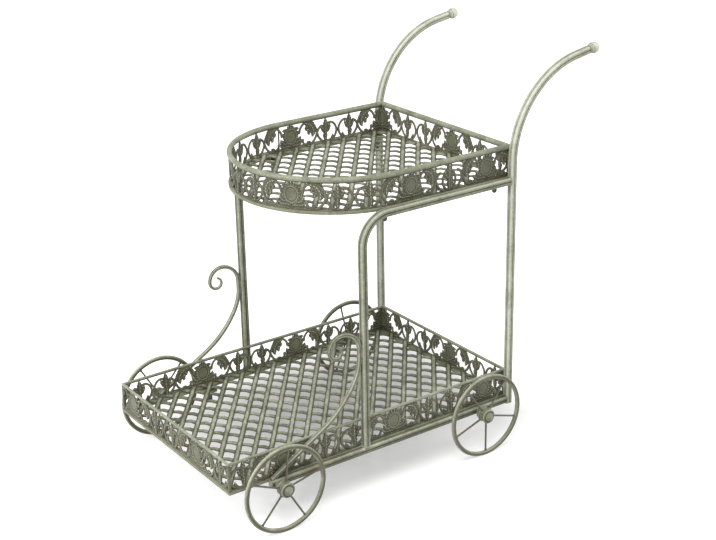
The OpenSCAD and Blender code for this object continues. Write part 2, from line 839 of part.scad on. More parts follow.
// Flat plate across the cart from y0 to y1, below the height 0, with the bolt's hole
module bolt_plate(y0, y1, top) {
  difference() {
    translate([-tab_len / 2, y0, top - tab_t]) cube([tab_len, y1 - y0, tab_t]);
    translate([0, bolt_y, top - tab_t - cut])
      cylinder(d = bolt_d + 2 * fit_gap, h = tab_t + 2 * cut);
  }
}

// Lug with a lip up its outer end, welded to the rail's inner face
module fixing_lug() {
  lip_t = tab_inset - side_gap;
  bolt_plate(tab_y0 + lug_step, half_w, -tab_t);
  translate([-tab_len / 2, half_w - lip_t, -tab_t - cut])
    cube([tab_len, lip_t, tab_t + cut - side_gap]);
}

module fixing_bolt() {
  translate([0, bolt_y, 0])
    rotate_extrude() polygon(domed_outline(bolt_head_d / 2, bolt_head_h));
  translate([0, bolt_y, -2 * tab_t - cap_nut_len / 2])
    cylinder(d = bolt_d, h = 2 * tab_t + cap_nut_len / 2);
}

module fixing_cap_nut() {
  collar = 4;
  collar_d = cap_nut_d + 4;
  translate([0, bolt_y, -2 * tab_t]) mirror([0, 0, 1]) difference() {
    union() {
      cylinder(d = collar_d, h = collar, $fn = 6);
      rotate_extrude() polygon(domed_outline(cap_nut_d / 2, cap_nut_len, 0.7));
    }
    translate([0, 0, -cut])
      cylinder(d = bolt_d + 2 * fit_gap, h = cap_nut_len / 2 + cut + fit_gap);
  }
}

module lower_tabs() {
  color(sage_dark) at_fixings(lower_bolts_x, lower_z) bolt_plate(tab_y0, half_w - tab_inset, 0);
}

module lower_lugs() {
  color(sage_dark) at_fixings(lower_bolts_x, lower_z) fixing_lug();
}

module lower_bolts() {
  color(nut_dark) at_fixings(lower_bolts_x, lower_z) fixing_bolt();
}

module lower_cap_nuts() {
  color(nut_dark) at_fixings(lower_bolts_x, lower_z) fixing_cap_nut();
}

module upper_tabs() {
  color(sage_dark) at_fixings(upper_bolts_x, upper_z) bolt_plate(tab_y0, half_w - tab_inset, 0);
}

module upper_lugs() {
  color(sage_dark) at_fixings(upper_bolts_x, upper_z) fixing_lug();
}

module upper_bolts() {
  color(nut_dark) at_fixings(upper_bolts_x, upper_z) fixing_bolt();
}

module upper_cap_nuts() {
  color(nut_dark) at_fixings(upper_bolts_x, upper_z) fixing_cap_nut();
}

// First spoke's angle above +X in each wheel
front_near_turn = 12;
front_far_turn = 48;
rear_near_turn = 54;
rear_far_turn = 30;

rear_post(near);  // rear_post_near
rear_post(far);  // rear_post_far
front_post(near);  // front_post_near
front_post(far);  // front_post_far
side_rail(near);  // side_rail_near
side_rail(far);  // side_rail_far
handle_knob(near);  // handle_knob_near
handle_knob(far);  // handle_knob_far
scroll_brace(near);  // scroll_brace_near
scroll_brace(far);  // scroll_brace_far
tube_caps();
axle_plates();
axle_studs();
axle_spacers();
axle_washers();
axle_nuts();
lower_bottom_frame();
lower_edge_bar();
lower_corner_bars();
lower_gallery_near();
lower_gallery_far();
lower_gallery_front();
lower_gallery_rear();
lower_weave_a();
lower_weave_b();
lower_tabs();
lower_lugs();
lower_bolts();
lower_cap_nuts();
upper_bottom_frame();
upper_rim();
upper_rear_rim();
upper_corner_bars();
upper_gallery_near();
upper_gallery_far();
upper_gallery_bow();
upper_gallery_rear();
upper_weave_a();
upper_weave_b();
upper_tabs();
upper_lugs();
upper_bolts();
upper_cap_nuts();
wheel_rim(front_axle_x, near);  // front_near_rim
wheel_spokes(front_axle_x, near, front_near_turn);  // front_near_spokes
wheel_hub(front_axle_x, near);  // front_near_hub
wheel_rim(front_axle_x, far);  // front_far_rim
wheel_spokes(front_axle_x, far, front_far_turn);  // front_far_spokes
wheel_hub(front_axle_x, far);  // front_far_hub
wheel_rim(rear_axle_x, near);  // rear_near_rim
wheel_spokes(rear_axle_x, near, rear_near_turn);  // rear_near_spokes
wheel_hub(rear_axle_x, near);  // rear_near_hub
wheel_rim(rear_axle_x, far);  // rear_far_rim
wheel_spokes(rear_axle_x, far, rear_far_turn);  // rear_far_spokes
wheel_hub(rear_axle_x, far);  // rear_far_hub
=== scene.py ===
"""Two-tier serving cart: the painted metal, the relief of the pressed sides and the woven floors,
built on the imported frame. Lengths are in metres, but in millimetres for the pressed ornament."""
import json
import math

import bmesh
import bpy
import numpy as np
from mathutils import Matrix, Vector


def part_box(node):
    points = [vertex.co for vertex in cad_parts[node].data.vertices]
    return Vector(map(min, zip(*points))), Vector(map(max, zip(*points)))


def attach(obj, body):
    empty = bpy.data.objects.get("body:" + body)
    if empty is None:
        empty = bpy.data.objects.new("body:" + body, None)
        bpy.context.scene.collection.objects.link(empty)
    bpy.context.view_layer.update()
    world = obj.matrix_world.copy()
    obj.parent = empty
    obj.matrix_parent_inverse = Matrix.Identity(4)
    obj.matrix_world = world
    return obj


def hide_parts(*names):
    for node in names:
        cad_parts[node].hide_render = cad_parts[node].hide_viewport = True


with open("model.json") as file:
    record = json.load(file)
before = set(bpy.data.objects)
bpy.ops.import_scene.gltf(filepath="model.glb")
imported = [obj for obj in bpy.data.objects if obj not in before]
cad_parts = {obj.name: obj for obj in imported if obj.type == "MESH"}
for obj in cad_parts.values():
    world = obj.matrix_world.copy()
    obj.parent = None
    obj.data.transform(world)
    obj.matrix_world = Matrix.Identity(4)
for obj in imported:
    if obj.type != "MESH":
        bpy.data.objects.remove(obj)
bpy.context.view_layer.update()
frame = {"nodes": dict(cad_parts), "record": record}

MM = 0.001
SIDES = {"near": -1, "far": 1}
BODY_OF = {node: body for body, nodes in frame["record"]["behaviour"]["bodies"].items() for node in nodes}
SLOT_OF = {part["node"]: part["material_slot"] for part in frame["record"]["subparts"]}

# Sizes of the side frames. The bends aren't in the frame's boxes, so they are given as in the CAD.
post_low, post_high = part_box("rear_post_near")
leg_low, leg_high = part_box("front_post_near")
rail_low, rail_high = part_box("side_rail_near")
brace_low, brace_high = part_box("scroll_brace_near")
TUBE = rail_high.z - rail_low.z
FRAME_Y = (rail_high.y - rail_low.y) / 2 - rail_low.y - TUBE
REAR_X = post_low.x + TUBE / 2
HANDLE_R = 0.203
HANDLE_GRIP = 0.033
HANDLE_TURN = math.radians(80)
GRIP_ALONG = np.array([math.sin(HANDLE_TURN), math.cos(HANDLE_TURN)])
GRIP_TOP = post_high.z - TUBE / 2 * GRIP_ALONG[0]
HANDLE_Z = GRIP_TOP - HANDLE_R * GRIP_ALONG[0] - HANDLE_GRIP * GRIP_ALONG[1]
BEND_END = np.array([REAR_X + HANDLE_R * (1 - GRIP_ALONG[1]), HANDLE_Z + HANDLE_R * GRIP_ALONG[0]])
GRIP_END = BEND_END + HANDLE_GRIP * GRIP_ALONG
LEG_X = leg_low.x + TUBE / 2
UPPER_RAIL_Z = leg_high.z - TUBE / 2
RAIL_Z = (rail_low.z + rail_high.z) / 2
RAIL_TOP = rail_high.z
LEG_BEND = 0.060
BRACE = brace_high.y - brace_low.y

# Colours of the paint, from painted shade at the bottom of the hollows to the rubbed edges and painted
# highlights
HOLLOW = (0.042, 0.044, 0.024)
SHADE = (0.100, 0.103, 0.060)
DULL = (0.165, 0.167, 0.104)
SAGE = (0.265, 0.282, 0.198)
PALE = (0.410, 0.428, 0.335)
CREAM = (0.640, 0.655, 0.550)
BROWN = (0.128, 0.096, 0.058)
DARK_METAL = (0.030, 0.032, 0.024)


# Materials

def cleared(owner):
    """Empties the nodes of a material or world. Returns a function that adds a node, sets its inputs
    and links what is given as a socket."""
    owner.use_nodes = True
    tree = owner.node_tree
    tree.nodes.clear()

    def add(kind, inputs=(), **settings):
        node = tree.nodes.new(kind)
        for name, value in settings.items():
            setattr(node, name, value)
        for name, value in dict(inputs).items():
            if isinstance(value, bpy.types.NodeSocket):
                tree.links.new(value, node.inputs[name])
            else:
                node.inputs[name].default_value = value
        return node
    return add


def compute(add, operation, *values):
    """The result of a sum on sockets and numbers."""
    return add("ShaderNodeMath", dict(enumerate(values)), operation=operation).outputs[0]


def ramp(add, factor, stops):
    node = add("ShaderNodeValToRGB", {"Fac": factor})
    for element, (place, colour) in zip(node.color_ramp.elements, (stops[0], stops[-1])):
        element.position = place
        element.color = (*colour, 1)
    for place, colour in stops[1:-1]:
        node.color_ramp.elements.new(place).color = (*colour, 1)
    return node.outputs["Color"]


def paint(name, colours, rub=0.7, mottle=0.6, brown=0.4, stain_from=0.54, roughness=0.5):
    """Sage paint over metal. The vertex value wear_and_shading runs from 0 in a hollow to 1 on an edge,
    and colours run the same way. Besides rubbed edges, it carries painted shade in hollows, grooves and
    undersides, painted highlights, and painted light that makes whole parts lighter or darker. rub and
    mottle are how far fine and broad noise shift it. brown is the strength of the brown patches, which lie
    where their noise is over stain_from."""
    material = bpy.data.materials.new(name)
    add = cleared(material)
    place = add("ShaderNodeTexCoord").outputs["Object"]

    def noise(scale, detail, fineness=0.5):
        return add("ShaderNodeTexNoise", {"Vector": place, "Scale": scale, "Detail": detail,
                                          "Roughness": fineness}).outputs["Fac"]

    def shifted(value, strength, by):
        return compute(add, "MULTIPLY_ADD", by, strength, value)

    def centred(value):
        return compute(add, "SUBTRACT", value, 0.5)

    wear_and_shading = add("ShaderNodeAttribute", attribute_name="wear_and_shading").outputs["Fac"]
    broad = noise(22.0, 3.0, 0.6)
    brushed = noise(240.0, 4.0, 0.7)
    grain = noise(900.0, 2.0)
    patches = noise(13.0, 5.0, 0.65)
    level = shifted(shifted(wear_and_shading, mottle, centred(broad)), rub, centred(brushed))
    base = ramp(add, level, [(i / (len(colours) - 1), colour) for i, colour in enumerate(colours)])
    patch = ramp(add, patches, [(stain_from, (0, 0, 0)), (stain_from + 0.12, (1, 1, 1))])
    stained = add("ShaderNodeMix", {"Factor": compute(add, "MULTIPLY", patch, brown), "A": base,
                                    "B": (*BROWN, 1)}, data_type="RGBA")
    rough = add("ShaderNodeMapRange", {"Value": broad, "To Min": roughness - 0.1,
                                       "To Max": roughness + 0.15})
    bump = add("ShaderNodeBump", {"Height": shifted(brushed, 0.4, grain), "Strength": 0.25,
                                  "Distance": 0.0004})
    shader = add("ShaderNodeBsdfPrincipled", {
        "Base Color": stained.outputs["Result"], "Roughness": rough.outputs["Result"],
        "Normal": bump.outputs["Normal"]})
    add("ShaderNodeOutputMaterial", {"Surface": shader.outputs["BSDF"]})
    return material


TUBE_COLOURS = [HOLLOW, SHADE, SAGE, PALE, CREAM]
BAR_COLOURS = [HOLLOW, SHADE, DULL, SAGE, PALE, CREAM]
MATERIALS = {
    "side_frames": paint("painted_tube", TUBE_COLOURS),
    "pressed_panels": paint("painted_relief", BAR_COLOURS, rub=0.6, brown=0.55),
    "floor_strips": paint("painted_strip", TUBE_COLOURS, rub=1.0, mottle=1.0, brown=0.3),
    "rims": paint("painted_rim", TUBE_COLOURS, brown=0.35),
    "tray_frames": paint("painted_bar", BAR_COLOURS, brown=0.5),
    "wheels": paint("painted_wheel", BAR_COLOURS, brown=0.6, stain_from=0.50),
    "axle_fittings": paint("painted_fitting", BAR_COLOURS[:-1], brown=0.6, stain_from=0.48),
    "fixings": paint("dark_fixing", [DARK_METAL, HOLLOW, SHADE], brown=0.4, roughness=0.4),
}


# Meshes

SAME_PLACE = 1e-6


def finish_piece(name, mesh, sharp, node, added=False):
    """Makes the object of a mesh, creased where its faces meet at over sharp degrees. It rides with
    the CAD node and stands for it, unless it is added to it."""
    mesh.shade_smooth()
    mesh.set_sharp_from_angle(angle=math.radians(sharp))
    piece = bpy.data.objects.new(name, mesh)
    bpy.context.scene.collection.objects.link(piece)
    mesh.materials.append(MATERIALS[SLOT_OF[node]])
    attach(piece, BODY_OF[node])
    if not added:
        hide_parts(node)


def new_piece(name, vertices, faces, wear_and_shading, node, sharp=35, added=False):
    """A piece of new geometry, with a wear_and_shading value for each vertex."""
    mesh = bpy.data.meshes.new(name)
    mesh.from_pydata(np.asarray(vertices, float).reshape(-1, 3).tolist(), [], faces)
    mesh.attributes.new("wear_and_shading", "FLOAT", "POINT").data.foreach_set("value", np.asarray(wear_and_shading, np.float32))
    edit = bmesh.new()
    edit.from_mesh(mesh)
    bmesh.ops.remove_doubles(edit, verts=edit.verts, dist=SAME_PLACE)
    bmesh.ops.recalc_face_normals(edit, faces=edit.faces)
    edit.to_mesh(mesh)
    edit.free()
    finish_piece(name, mesh, sharp, node, added)


def arc(centre, radius, start, end, count):
    """Points along an arc in the plane of X and Z, with the angles in degrees from +X towards +Z."""
    angles = np.radians(np.linspace(start, end, count))
    return np.c_[centre[0] + radius * np.cos(angles), centre[1] + radius * np.sin(angles)]


def join_paths(*paths):
    """One path from several that meet end to end."""
    return np.concatenate([paths[0]] + [path[1:] for path in paths[1:]])


def straight(start, end, spacing=0.02):
    count = max(2, int(math.dist(start, end) / spacing))
    return np.linspace(start, end, count)


def lengths_along(points):
    """How far along a line of points each of them lies."""
    return np.r_[0, np.cumsum(np.linalg.norm(np.diff(points, axis=0), axis=1))]


def fluted_profile(size, corner, groove_w, groove_depth):
    """Outline of the square tube with round corners and a groove along each face, with wear_and_shading
    values: the corners rubbed lighter and painted shade in the grooves.
    """
    half, side = size / 2, size / 2 - corner
    face_tone, groove_shade, corner_tone, corner_rub = 0.54, 0.60, 0.46, 0.40

    def corner_points(end, start, stop, count):
        """Points round the corner at the low or high end of a face, rubbed at their middle."""
        return [(side + corner * math.cos(a), end * side + corner * math.sin(a),
                 corner_tone + corner_rub * math.cos(2 * (a - end * math.pi / 4)) ** 2)
                for a in np.radians(np.linspace(start, stop, count))]

    quarter = corner_points(-1, -45, -8, 5)
    for y in np.linspace(-side, side, 17):
        dip = 0.5 + 0.5 * math.cos(math.pi * min(abs(y) / groove_w, 1))
        quarter.append((half - groove_depth * dip, y, face_tone - groove_shade * dip))
    quarter += corner_points(1, 8, 37, 4)
    points, wear_and_shading = [], []
    for turn in range(4):
        c, s = math.cos(turn * math.pi / 2), math.sin(turn * math.pi / 2)
        for x, y, tone in quarter:
            points.append((c * x - s * y, s * x + c * y))
            wear_and_shading.append(tone)
    return np.array(points), np.array(wear_and_shading)


def round_profile(diameter, count=20, wear_and_shading=0.5):
    angles = np.linspace(0, 2 * math.pi, count, endpoint=False)
    return diameter / 2 * np.c_[np.cos(angles), np.sin(angles)], np.full(count, wear_and_shading)


def sweep(path, across, profile, scale=1.0, closed=False):
    """Vertices, faces and wear_and_shading values of a profile carried along a path. across is square to
    the path's plane, and it is the profile's second direction."""
    outline, wear_and_shading = profile
    if closed:
        tangents = np.roll(path, -1, 0) - np.roll(path, 1, 0)
    else:
        tangents = np.gradient(path, axis=0)
    tangents /= np.linalg.norm(tangents, axis=1)[:, None]
    across = np.asarray(across, float)
    normals = np.cross(across, tangents)
    rings = (path[:, None, :] + np.broadcast_to(scale, len(path))[:, None, None]
             * (outline[None, :, :1] * normals[:, None, :] + outline[None, :, 1:] * across[None, None, :]))
    count, size = len(path), len(outline)
    faces = []
    for i in range(count if closed else count - 1):
        k = (i + 1) % count
        faces += [(i * size + j, i * size + (j + 1) % size, k * size + (j + 1) % size, k * size + j)
                  for j in range(size)]
    if not closed:
        faces += [tuple(range(size)), tuple(range((count - 1) * size, count * size))]
    return rings, faces, np.tile(wear_and_shading, count)


def sweep_upright(path, y, profile, scale=1.0, closed=False):
    """A sweep along a path of X and Z pairs, in the upright plane at the distance y across the cart."""
    points = np.c_[path[:, 0], np.full(len(path), y), path[:, 1]]
    return sweep(points, (0, 1, 0), profile, scale, closed)


def lathe(profile, centre, axis, count=40):
    """Vertices, faces and wear_and_shading values of a profile of (radius, height, wear_and_shading) turned
    round an axis.
    """
    axis = Vector(axis).normalized()
    across = axis.orthogonal().normalized()
    other = axis.cross(across)
    vertices, wear_and_shading, faces = [], [], []
    for radius, height, value in profile:
        for k in range(count):
            a = 2 * math.pi * k / count
            out = math.cos(a) * across + math.sin(a) * other
            vertices.append(Vector(centre) + axis * float(height) + out * float(radius))
            wear_and_shading.append(value)
    for i in range(len(profile) - 1):
        for k in range(count):
            n = (k + 1) % count
            faces.append((i * count + k, i * count + n, (i + 1) * count + n, (i + 1) * count + k))
    return vertices, faces, wear_and_shading


def joined(meshes):
    """Vertices, faces and wear_and_shading values of several meshes as one."""
    vertices, faces, wear_and_shading = [], [], []
    for points, sides, tones in meshes:
        base = len(vertices)
        vertices += np.reshape(points, (-1, 3)).tolist()
        faces += [tuple(base + i for i in face) for face in sides]
        wear_and_shading += list(tones)
    return vertices, faces, wear_and_shading


def softened(node, width, face_tone, edge_tone):
    """A copy of a CAD node's mesh with its edges rounded and rubbed."""
    edit = bmesh.new()
    edit.from_mesh(frame["nodes"][node].data)
    bmesh.ops.remove_doubles(edit, verts=edit.verts, dist=SAME_PLACE)
    bmesh.ops.dissolve_limit(edit, angle_limit=math.radians(0.5), verts=edit.verts, edges=edit.edges)
    edges = [e for e in edit.edges if len(e.link_faces) == 2 and e.calc_face_angle(0) > math.radians(25)]
    result = bmesh.ops.bevel(edit, geom=edges, offset=width, segments=2, profile=0.5, affect="EDGES",
                             clamp_overlap=True)
    layer = edit.verts.layers.float.new("wear_and_shading")
    for vertex in edit.verts:
        vertex[layer] = face_tone
    for face in result["faces"]:
        for vertex in face.verts:
            vertex[layer] = edge_tone
    mesh = bpy.data.meshes.new(node + "_soft")
    edit.to_mesh(mesh)
    edit.free()
    finish_piece(node + "_soft", mesh, 50, node)


# Side frames

TUBE_CORNER = 0.0045
TUBE_PROFILE = fluted_profile(TUBE, TUBE_CORNER, 0.0023, 0.0013)


def toned(profile, lift, under, contrast=1.0):
    """The profile with its wear_and_shading values stretched by contrast about their middle and then lifted
    by lift, which paints the whole part lighter or darker for the light that falls on it. As painted
    shade they are lowered by up to under on the outline's positive side: a post's rear, a rail's underside."""
    outline, wear_and_shading = profile
    share = np.clip(outline[:, 0] / outline[:, 0].max(), 0, 1)
    middle = 0.45
    return outline, middle + contrast * (wear_and_shading - middle) + lift - under * share


def side_tubes(part, path, profile):
    """A tube along the path in each side frame."""
    for side, sign in SIDES.items():
        new_piece(f"{part}_{side}_tube", *sweep_upright(path, sign * FRAME_Y, profile), f"{part}_{side}")


def rear_posts():
    """Rear leg and handle, bent from one tube."""
    path = join_paths(straight((REAR_X, post_low.z), (REAR_X, HANDLE_Z)),
                      arc((REAR_X + HANDLE_R, HANDLE_Z), HANDLE_R, 180, 180 - math.degrees(HANDLE_TURN), 40),
                      straight(BEND_END, GRIP_END, 0.01))
    # Painted light makes the rear posts lighter, and painted shade darkens their rear.
    side_tubes("rear_post", path, toned(TUBE_PROFILE, 0.24, 0.28, 0.75))


def front_posts():
    """Front leg, bent over into the upper rail."""
    bend_z = UPPER_RAIL_Z - LEG_BEND
    path = join_paths(straight((LEG_X, RAIL_TOP), (LEG_X, bend_z)),
                      arc((LEG_X + LEG_BEND, bend_z), LEG_BEND, 180, 90, 24),
                      straight((LEG_X + LEG_BEND, UPPER_RAIL_Z), (leg_high.x, UPPER_RAIL_Z)))
    # Painted shade makes the front posts a little darker, and darker still on their rear and under the upper
    # rail.
    side_tubes("front_post", path, toned(TUBE_PROFILE, -0.04, 0.25, 0.85))


def side_rails():
    """Lower rail, which carries the axles."""
    path = straight((rail_low.x, RAIL_Z), (rail_high.x, RAIL_Z))
    # Painted shade makes the rails darker, and darker still on their undersides.
    side_tubes("side_rail", path, toned(TUBE_PROFILE, -0.14, 0.35))


def brace_path():
    """The brace's centre line in two runs: from its foot on the rail up the leg, and its curl."""
    slope = math.radians(30)
    curl_radii, curl_turns = (0.042, 0.030, 0.017, 0.012), (90, 90, 90, 170)
    knee_r, long_r, weld = 0.110, 0.220, 0.015
    steep = math.pi / 2 - slope
    x = LEG_X - TUBE / 2 - BRACE / 2
    knee_x = x - knee_r * (1 - math.cos(slope))
    knee_drop = knee_r * math.sin(slope)
    bar_x = knee_x - long_r * (math.cos(slope) - math.cos(steep))
    bar_drop = knee_drop + long_r * (math.sin(steep) - math.sin(slope))
    foot_x = rail_low.x + 0.003
    weld_z = RAIL_TOP + (bar_x - foot_x) * math.tan(slope) + bar_drop
    long_centre = (knee_x - long_r * math.cos(slope), weld_z - knee_drop + long_r * math.sin(slope))
    stem = join_paths(straight((foot_x, RAIL_TOP), (bar_x, weld_z - bar_drop)),
                      arc(long_centre, long_r, -math.degrees(steep), -math.degrees(slope), 16),
                      arc((x - knee_r, weld_z), knee_r, -math.degrees(slope), 0, 12),
                      straight((x, weld_z), (x, weld_z + weld), 0.005))
    curl, centre, angle = [], np.array([x - curl_radii[0], weld_z + weld]), 0
    for radius, smaller, turn in zip(curl_radii, curl_radii[1:] + (0,), curl_turns):
        curl.append(arc(centre, radius, angle, angle + turn, 14))
        angle += turn
        along = np.array([math.cos(math.radians(angle)), math.sin(math.radians(angle))])
        centre = centre + (radius - smaller) * along
    return stem, join_paths(*curl)


def scroll_braces():
    """Fluted bar that thins towards the end of its curl, cut off on the rail."""
    stem, curl = brace_path()
    path = join_paths(stem, curl)
    steps = lengths_along(curl)
    end_loss, sunk = 0.40, 0.0005
    thinning = 1 - end_loss * (steps / steps[-1]) ** 2
    scale = np.r_[np.ones(len(stem)), thinning[1:]]
    outline = fluted_profile(BRACE, 0.0024, 0.0013, 0.0008)
    direction = path[1] - path[0]
    direction /= np.linalg.norm(direction)
    for side, sign in SIDES.items():
        # Painted light makes the far brace lighter than the near one, and painted shade darkens one side of
        # each.
        profile = toned(outline, 0.02 + 0.04 * sign, 0.20, 0.7)
        rings, faces, wear_and_shading = sweep_upright(path, sign * FRAME_Y, profile, scale)
        foot = rings[0]
        down = (RAIL_TOP - sunk - foot[:, 2]) / direction[1]
        back = (rail_low.x - foot[:, 0]) / direction[0]
        run = np.maximum(down, back)
        foot[:, 0] += run * direction[0]
        foot[:, 2] += run * direction[1]
        new_piece(f"scroll_brace_{side}_bar", rings, faces, wear_and_shading, f"scroll_brace_{side}")


def handle_knobs():
    """Ball knob on the end of each handle, on a neck that flares from the tube's width."""
    box_low, box_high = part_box("handle_knob_near")
    ball_r = (box_high.y - box_low.y) / 2
    ball_at = 0.016
    flare_len, flare_r, lip = ball_at - 0.0065, ball_r - 0.0017, 0.0006
    neck = [(0.0, 0.0, 0.3)] + [(TUBE / 2 + (flare_r - TUBE / 2) * t * t, flare_len * t, 0.35 + 0.5 * t)
                                for t in np.linspace(0, 1, 8)]
    start = math.acos((ball_at - flare_len - lip) / ball_r)
    # The ball is cream, and its ring where it meets the neck gets painted shade.
    ball = [(ball_r * math.sin(a), ball_at - ball_r * math.cos(a), 0.20 if a < start + 0.01 else 0.92)
            for a in np.linspace(start, math.pi, 20)]
    along = (GRIP_ALONG[0], 0, GRIP_ALONG[1])
    for side, sign in SIDES.items():
        foot = (GRIP_END[0], sign * FRAME_Y, GRIP_END[1])
        new_piece(f"handle_knob_{side}_ball", *lathe(neck + ball, foot, along), f"handle_knob_{side}")


def bead(path, across, r, rng, closed=False):
    """Weld bead along a path: a round rod whose ripples and lumps show the weld's passes."""
    ripple, ripple_depth, lump_depth = 0.0022, 0.16, 0.14
    lumps = (1 + ripple_depth * np.sin(2 * math.pi * lengths_along(path) / ripple)
             + lump_depth * rng.standard_normal(len(path)))
    return sweep(path, across, round_profile(r * 2, 8), np.clip(lumps, 0.6, 1.4), closed)


def tube_outline(count=56):
    """Points round the square tube, just proud of it."""
    proud = 0.0001
    side = TUBE / 2 + proud - TUBE_CORNER
    points = []
    for turn, (x, y) in enumerate(((side, side), (-side, side), (-side, -side), (side, -side))):
        points += arc((x, y), TUBE_CORNER, 90 * turn, 90 * turn + 90, 6).tolist()
    points = np.array(points + points[:1])
    steps = lengths_along(points)
    even = np.linspace(0, steps[-1], count, endpoint=False)
    return np.c_[np.interp(even, steps, points[:, 0]), np.interp(even, steps, points[:, 1])]


def frame_welds():
    """Beads where the front leg stands on the rail, where both rails meet the rear leg, and along
    the brace's stretch on the front leg."""
    joint_r, seam_r, seam_length, seam_apart = 0.0014, 0.0017, 0.018, 0.42 * BRACE
    rng = np.random.default_rng(7)
    outline = tube_outline()
    heights = brace_path()[0][:, 1]
    seam = heights[heights > heights[-1] - seam_length]
    seam = np.linspace(seam.min(), seam.max(), 14)
    for side, sign in SIDES.items():
        y = sign * FRAME_Y
        foot = np.c_[LEG_X + outline[:, 0], y + outline[:, 1], np.full(len(outline), RAIL_TOP)]
        meshes = [bead(foot, (0, 0, 1), joint_r, rng, True)]
        for z in (RAIL_Z, UPPER_RAIL_Z):
            end = np.c_[np.full(len(outline), REAR_X - TUBE / 2), y + outline[:, 0], z + outline[:, 1]]
            meshes.append(bead(end, (1, 0, 0), joint_r, rng, True))
        for seam_y in (y - seam_apart, y + seam_apart):
            path = np.c_[np.full(len(seam), LEG_X - TUBE / 2), np.full(len(seam), seam_y), seam]
            meshes.append(bead(path, (0, 1, 0), seam_r, rng))
        new_piece(f"frame_welds_{side}", *joined(meshes), f"front_post_{side}", added=True)


# Trays: rims and woven floors

edge_low, edge_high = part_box("lower_edge_bar")
lower_low, lower_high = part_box("lower_weave_a")
rim_low, rim_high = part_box("upper_rim")
upper_low, upper_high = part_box("upper_weave_a")
RIM_TUBE = rim_high.z - rim_low.z
RIM_Z = (rim_low.z + rim_high.z) / 2
BOW_R = rim_high.y - RIM_TUBE / 2
BOW_X = rim_low.x + RIM_TUBE / 2 + BOW_R


def upper_rims():
    """Round rim over the bow and the sides, and the bar across the rear, mitred together."""
    def rod(path):
        return sweep(np.c_[path, np.full(len(path), RIM_Z)], (0, 0, 1), round_profile(RIM_TUBE, 24, 0.47))

    angles = np.radians(np.linspace(90, 270, 80))
    bow = np.c_[BOW_X + BOW_R * np.cos(angles), BOW_R * np.sin(angles)]
    rings, faces, wear_and_shading = rod(join_paths(straight((REAR_X, BOW_R), (BOW_X, BOW_R)), bow,
                                        straight((BOW_X, -BOW_R), (REAR_X, -BOW_R))))
    for ring in (rings[0], rings[-1]):
        ring[:, 0] += np.abs(ring[:, 1]) - BOW_R
    new_piece("upper_rim_rod", rings, faces, wear_and_shading, "upper_rim")
    rings, faces, wear_and_shading = rod(straight((REAR_X, -BOW_R), (REAR_X, BOW_R)))
    for ring, sign in ((rings[0], -1), (rings[-1], 1)):
        ring[:, 1] += sign * (ring[:, 0] - REAR_X)
    new_piece("upper_rear_rim_rod", rings, faces, wear_and_shading, "upper_rear_rim")


STRIP_W, STRIP_T, STRIP_PITCH = 0.012, 0.0014, 0.0334
STRIP_SLANT = math.radians(52)
STRIP_CROWN = 0.00030

# How high the strips' middles lie over the foot of the CAD's family a, where they cross the other
# family and halfway between two crossings
OVER_HEIGHTS = np.array([0.0011, -0.0010])
UNDER_HEIGHTS = np.array([-0.0014, 0.0007])

# The lanes along a strip: where each lies across it, as a share of its width, how thick it is on each
# side of the middle, as a share of its thickness, and the wear_and_shading values of the strips on top
# and below there, which darken towards the edges as painted shade
LANES = np.array([-0.5, -0.47, -0.36, -0.18, 0.0, 0.18, 0.36, 0.47, 0.5])
LANE_HALF = np.array([0.25, 0.42, 0.5, 0.5, 0.5, 0.5, 0.5, 0.42, 0.25])
OVER_TONES = (-0.10, -0.06, 0.14, 0.52, 0.62, 0.54, 0.26, 0.00, -0.06)
UNDER_TONES = (0.08, 0.16, 0.34, 0.42, 0.42, 0.42, 0.44, 0.44, 0.34)

# A place on each floor where two strips cross
CROSSING = {"lower": (-0.11425, 0.013), "upper": (-0.02475, 0.021)}
FAR_OFF = 9.0


def span_in_box(at, direction, low, high):
    """Where the line from at enters and leaves a rectangle, or None."""
    t0, t1 = -FAR_OFF, FAR_OFF
    for axis in (0, 1):
        a = (low[axis] - at[axis]) / direction[axis]
        b = (high[axis] - at[axis]) / direction[axis]
        t0, t1 = max(t0, min(a, b)), min(t1, max(a, b))
    return (t0, t1) if t1 > t0 else None


def span_in_circle(at, direction, centre, radius):
    """Where the line from at enters and leaves a circle, or None."""
    d = np.subtract(at, centre)
    b = d @ direction
    root = b * b - d @ d + radius * radius
    return (-b - math.sqrt(root), -b + math.sqrt(root)) if root > 0 else None


def span_in_lower(at, direction):
    """Where the line from at enters and leaves the lower floor, a rectangle."""
    return span_in_box(at, direction, lower_low, lower_high)


def span_in_upper(at, direction):
    """Where the line from at enters and leaves the upper floor: a rectangle and a round front."""
    spans = [span_in_box(at, direction, (BOW_X, upper_low.y), upper_high)]
    round_span = span_in_circle(at, direction, (BOW_X, 0.0), upper_high.y)
    if round_span:
        edge = (BOW_X - at[0]) / direction[0]
        ahead = (-FAR_OFF, edge) if direction[0] > 0 else (edge, FAR_OFF)
        t0, t1 = max(round_span[0], ahead[0]), min(round_span[1], ahead[1])
        spans.append((t0, t1) if t1 > t0 else None)
    spans = [s for s in spans if s]
    return (min(s[0] for s in spans), max(s[1] for s in spans)) if spans else None


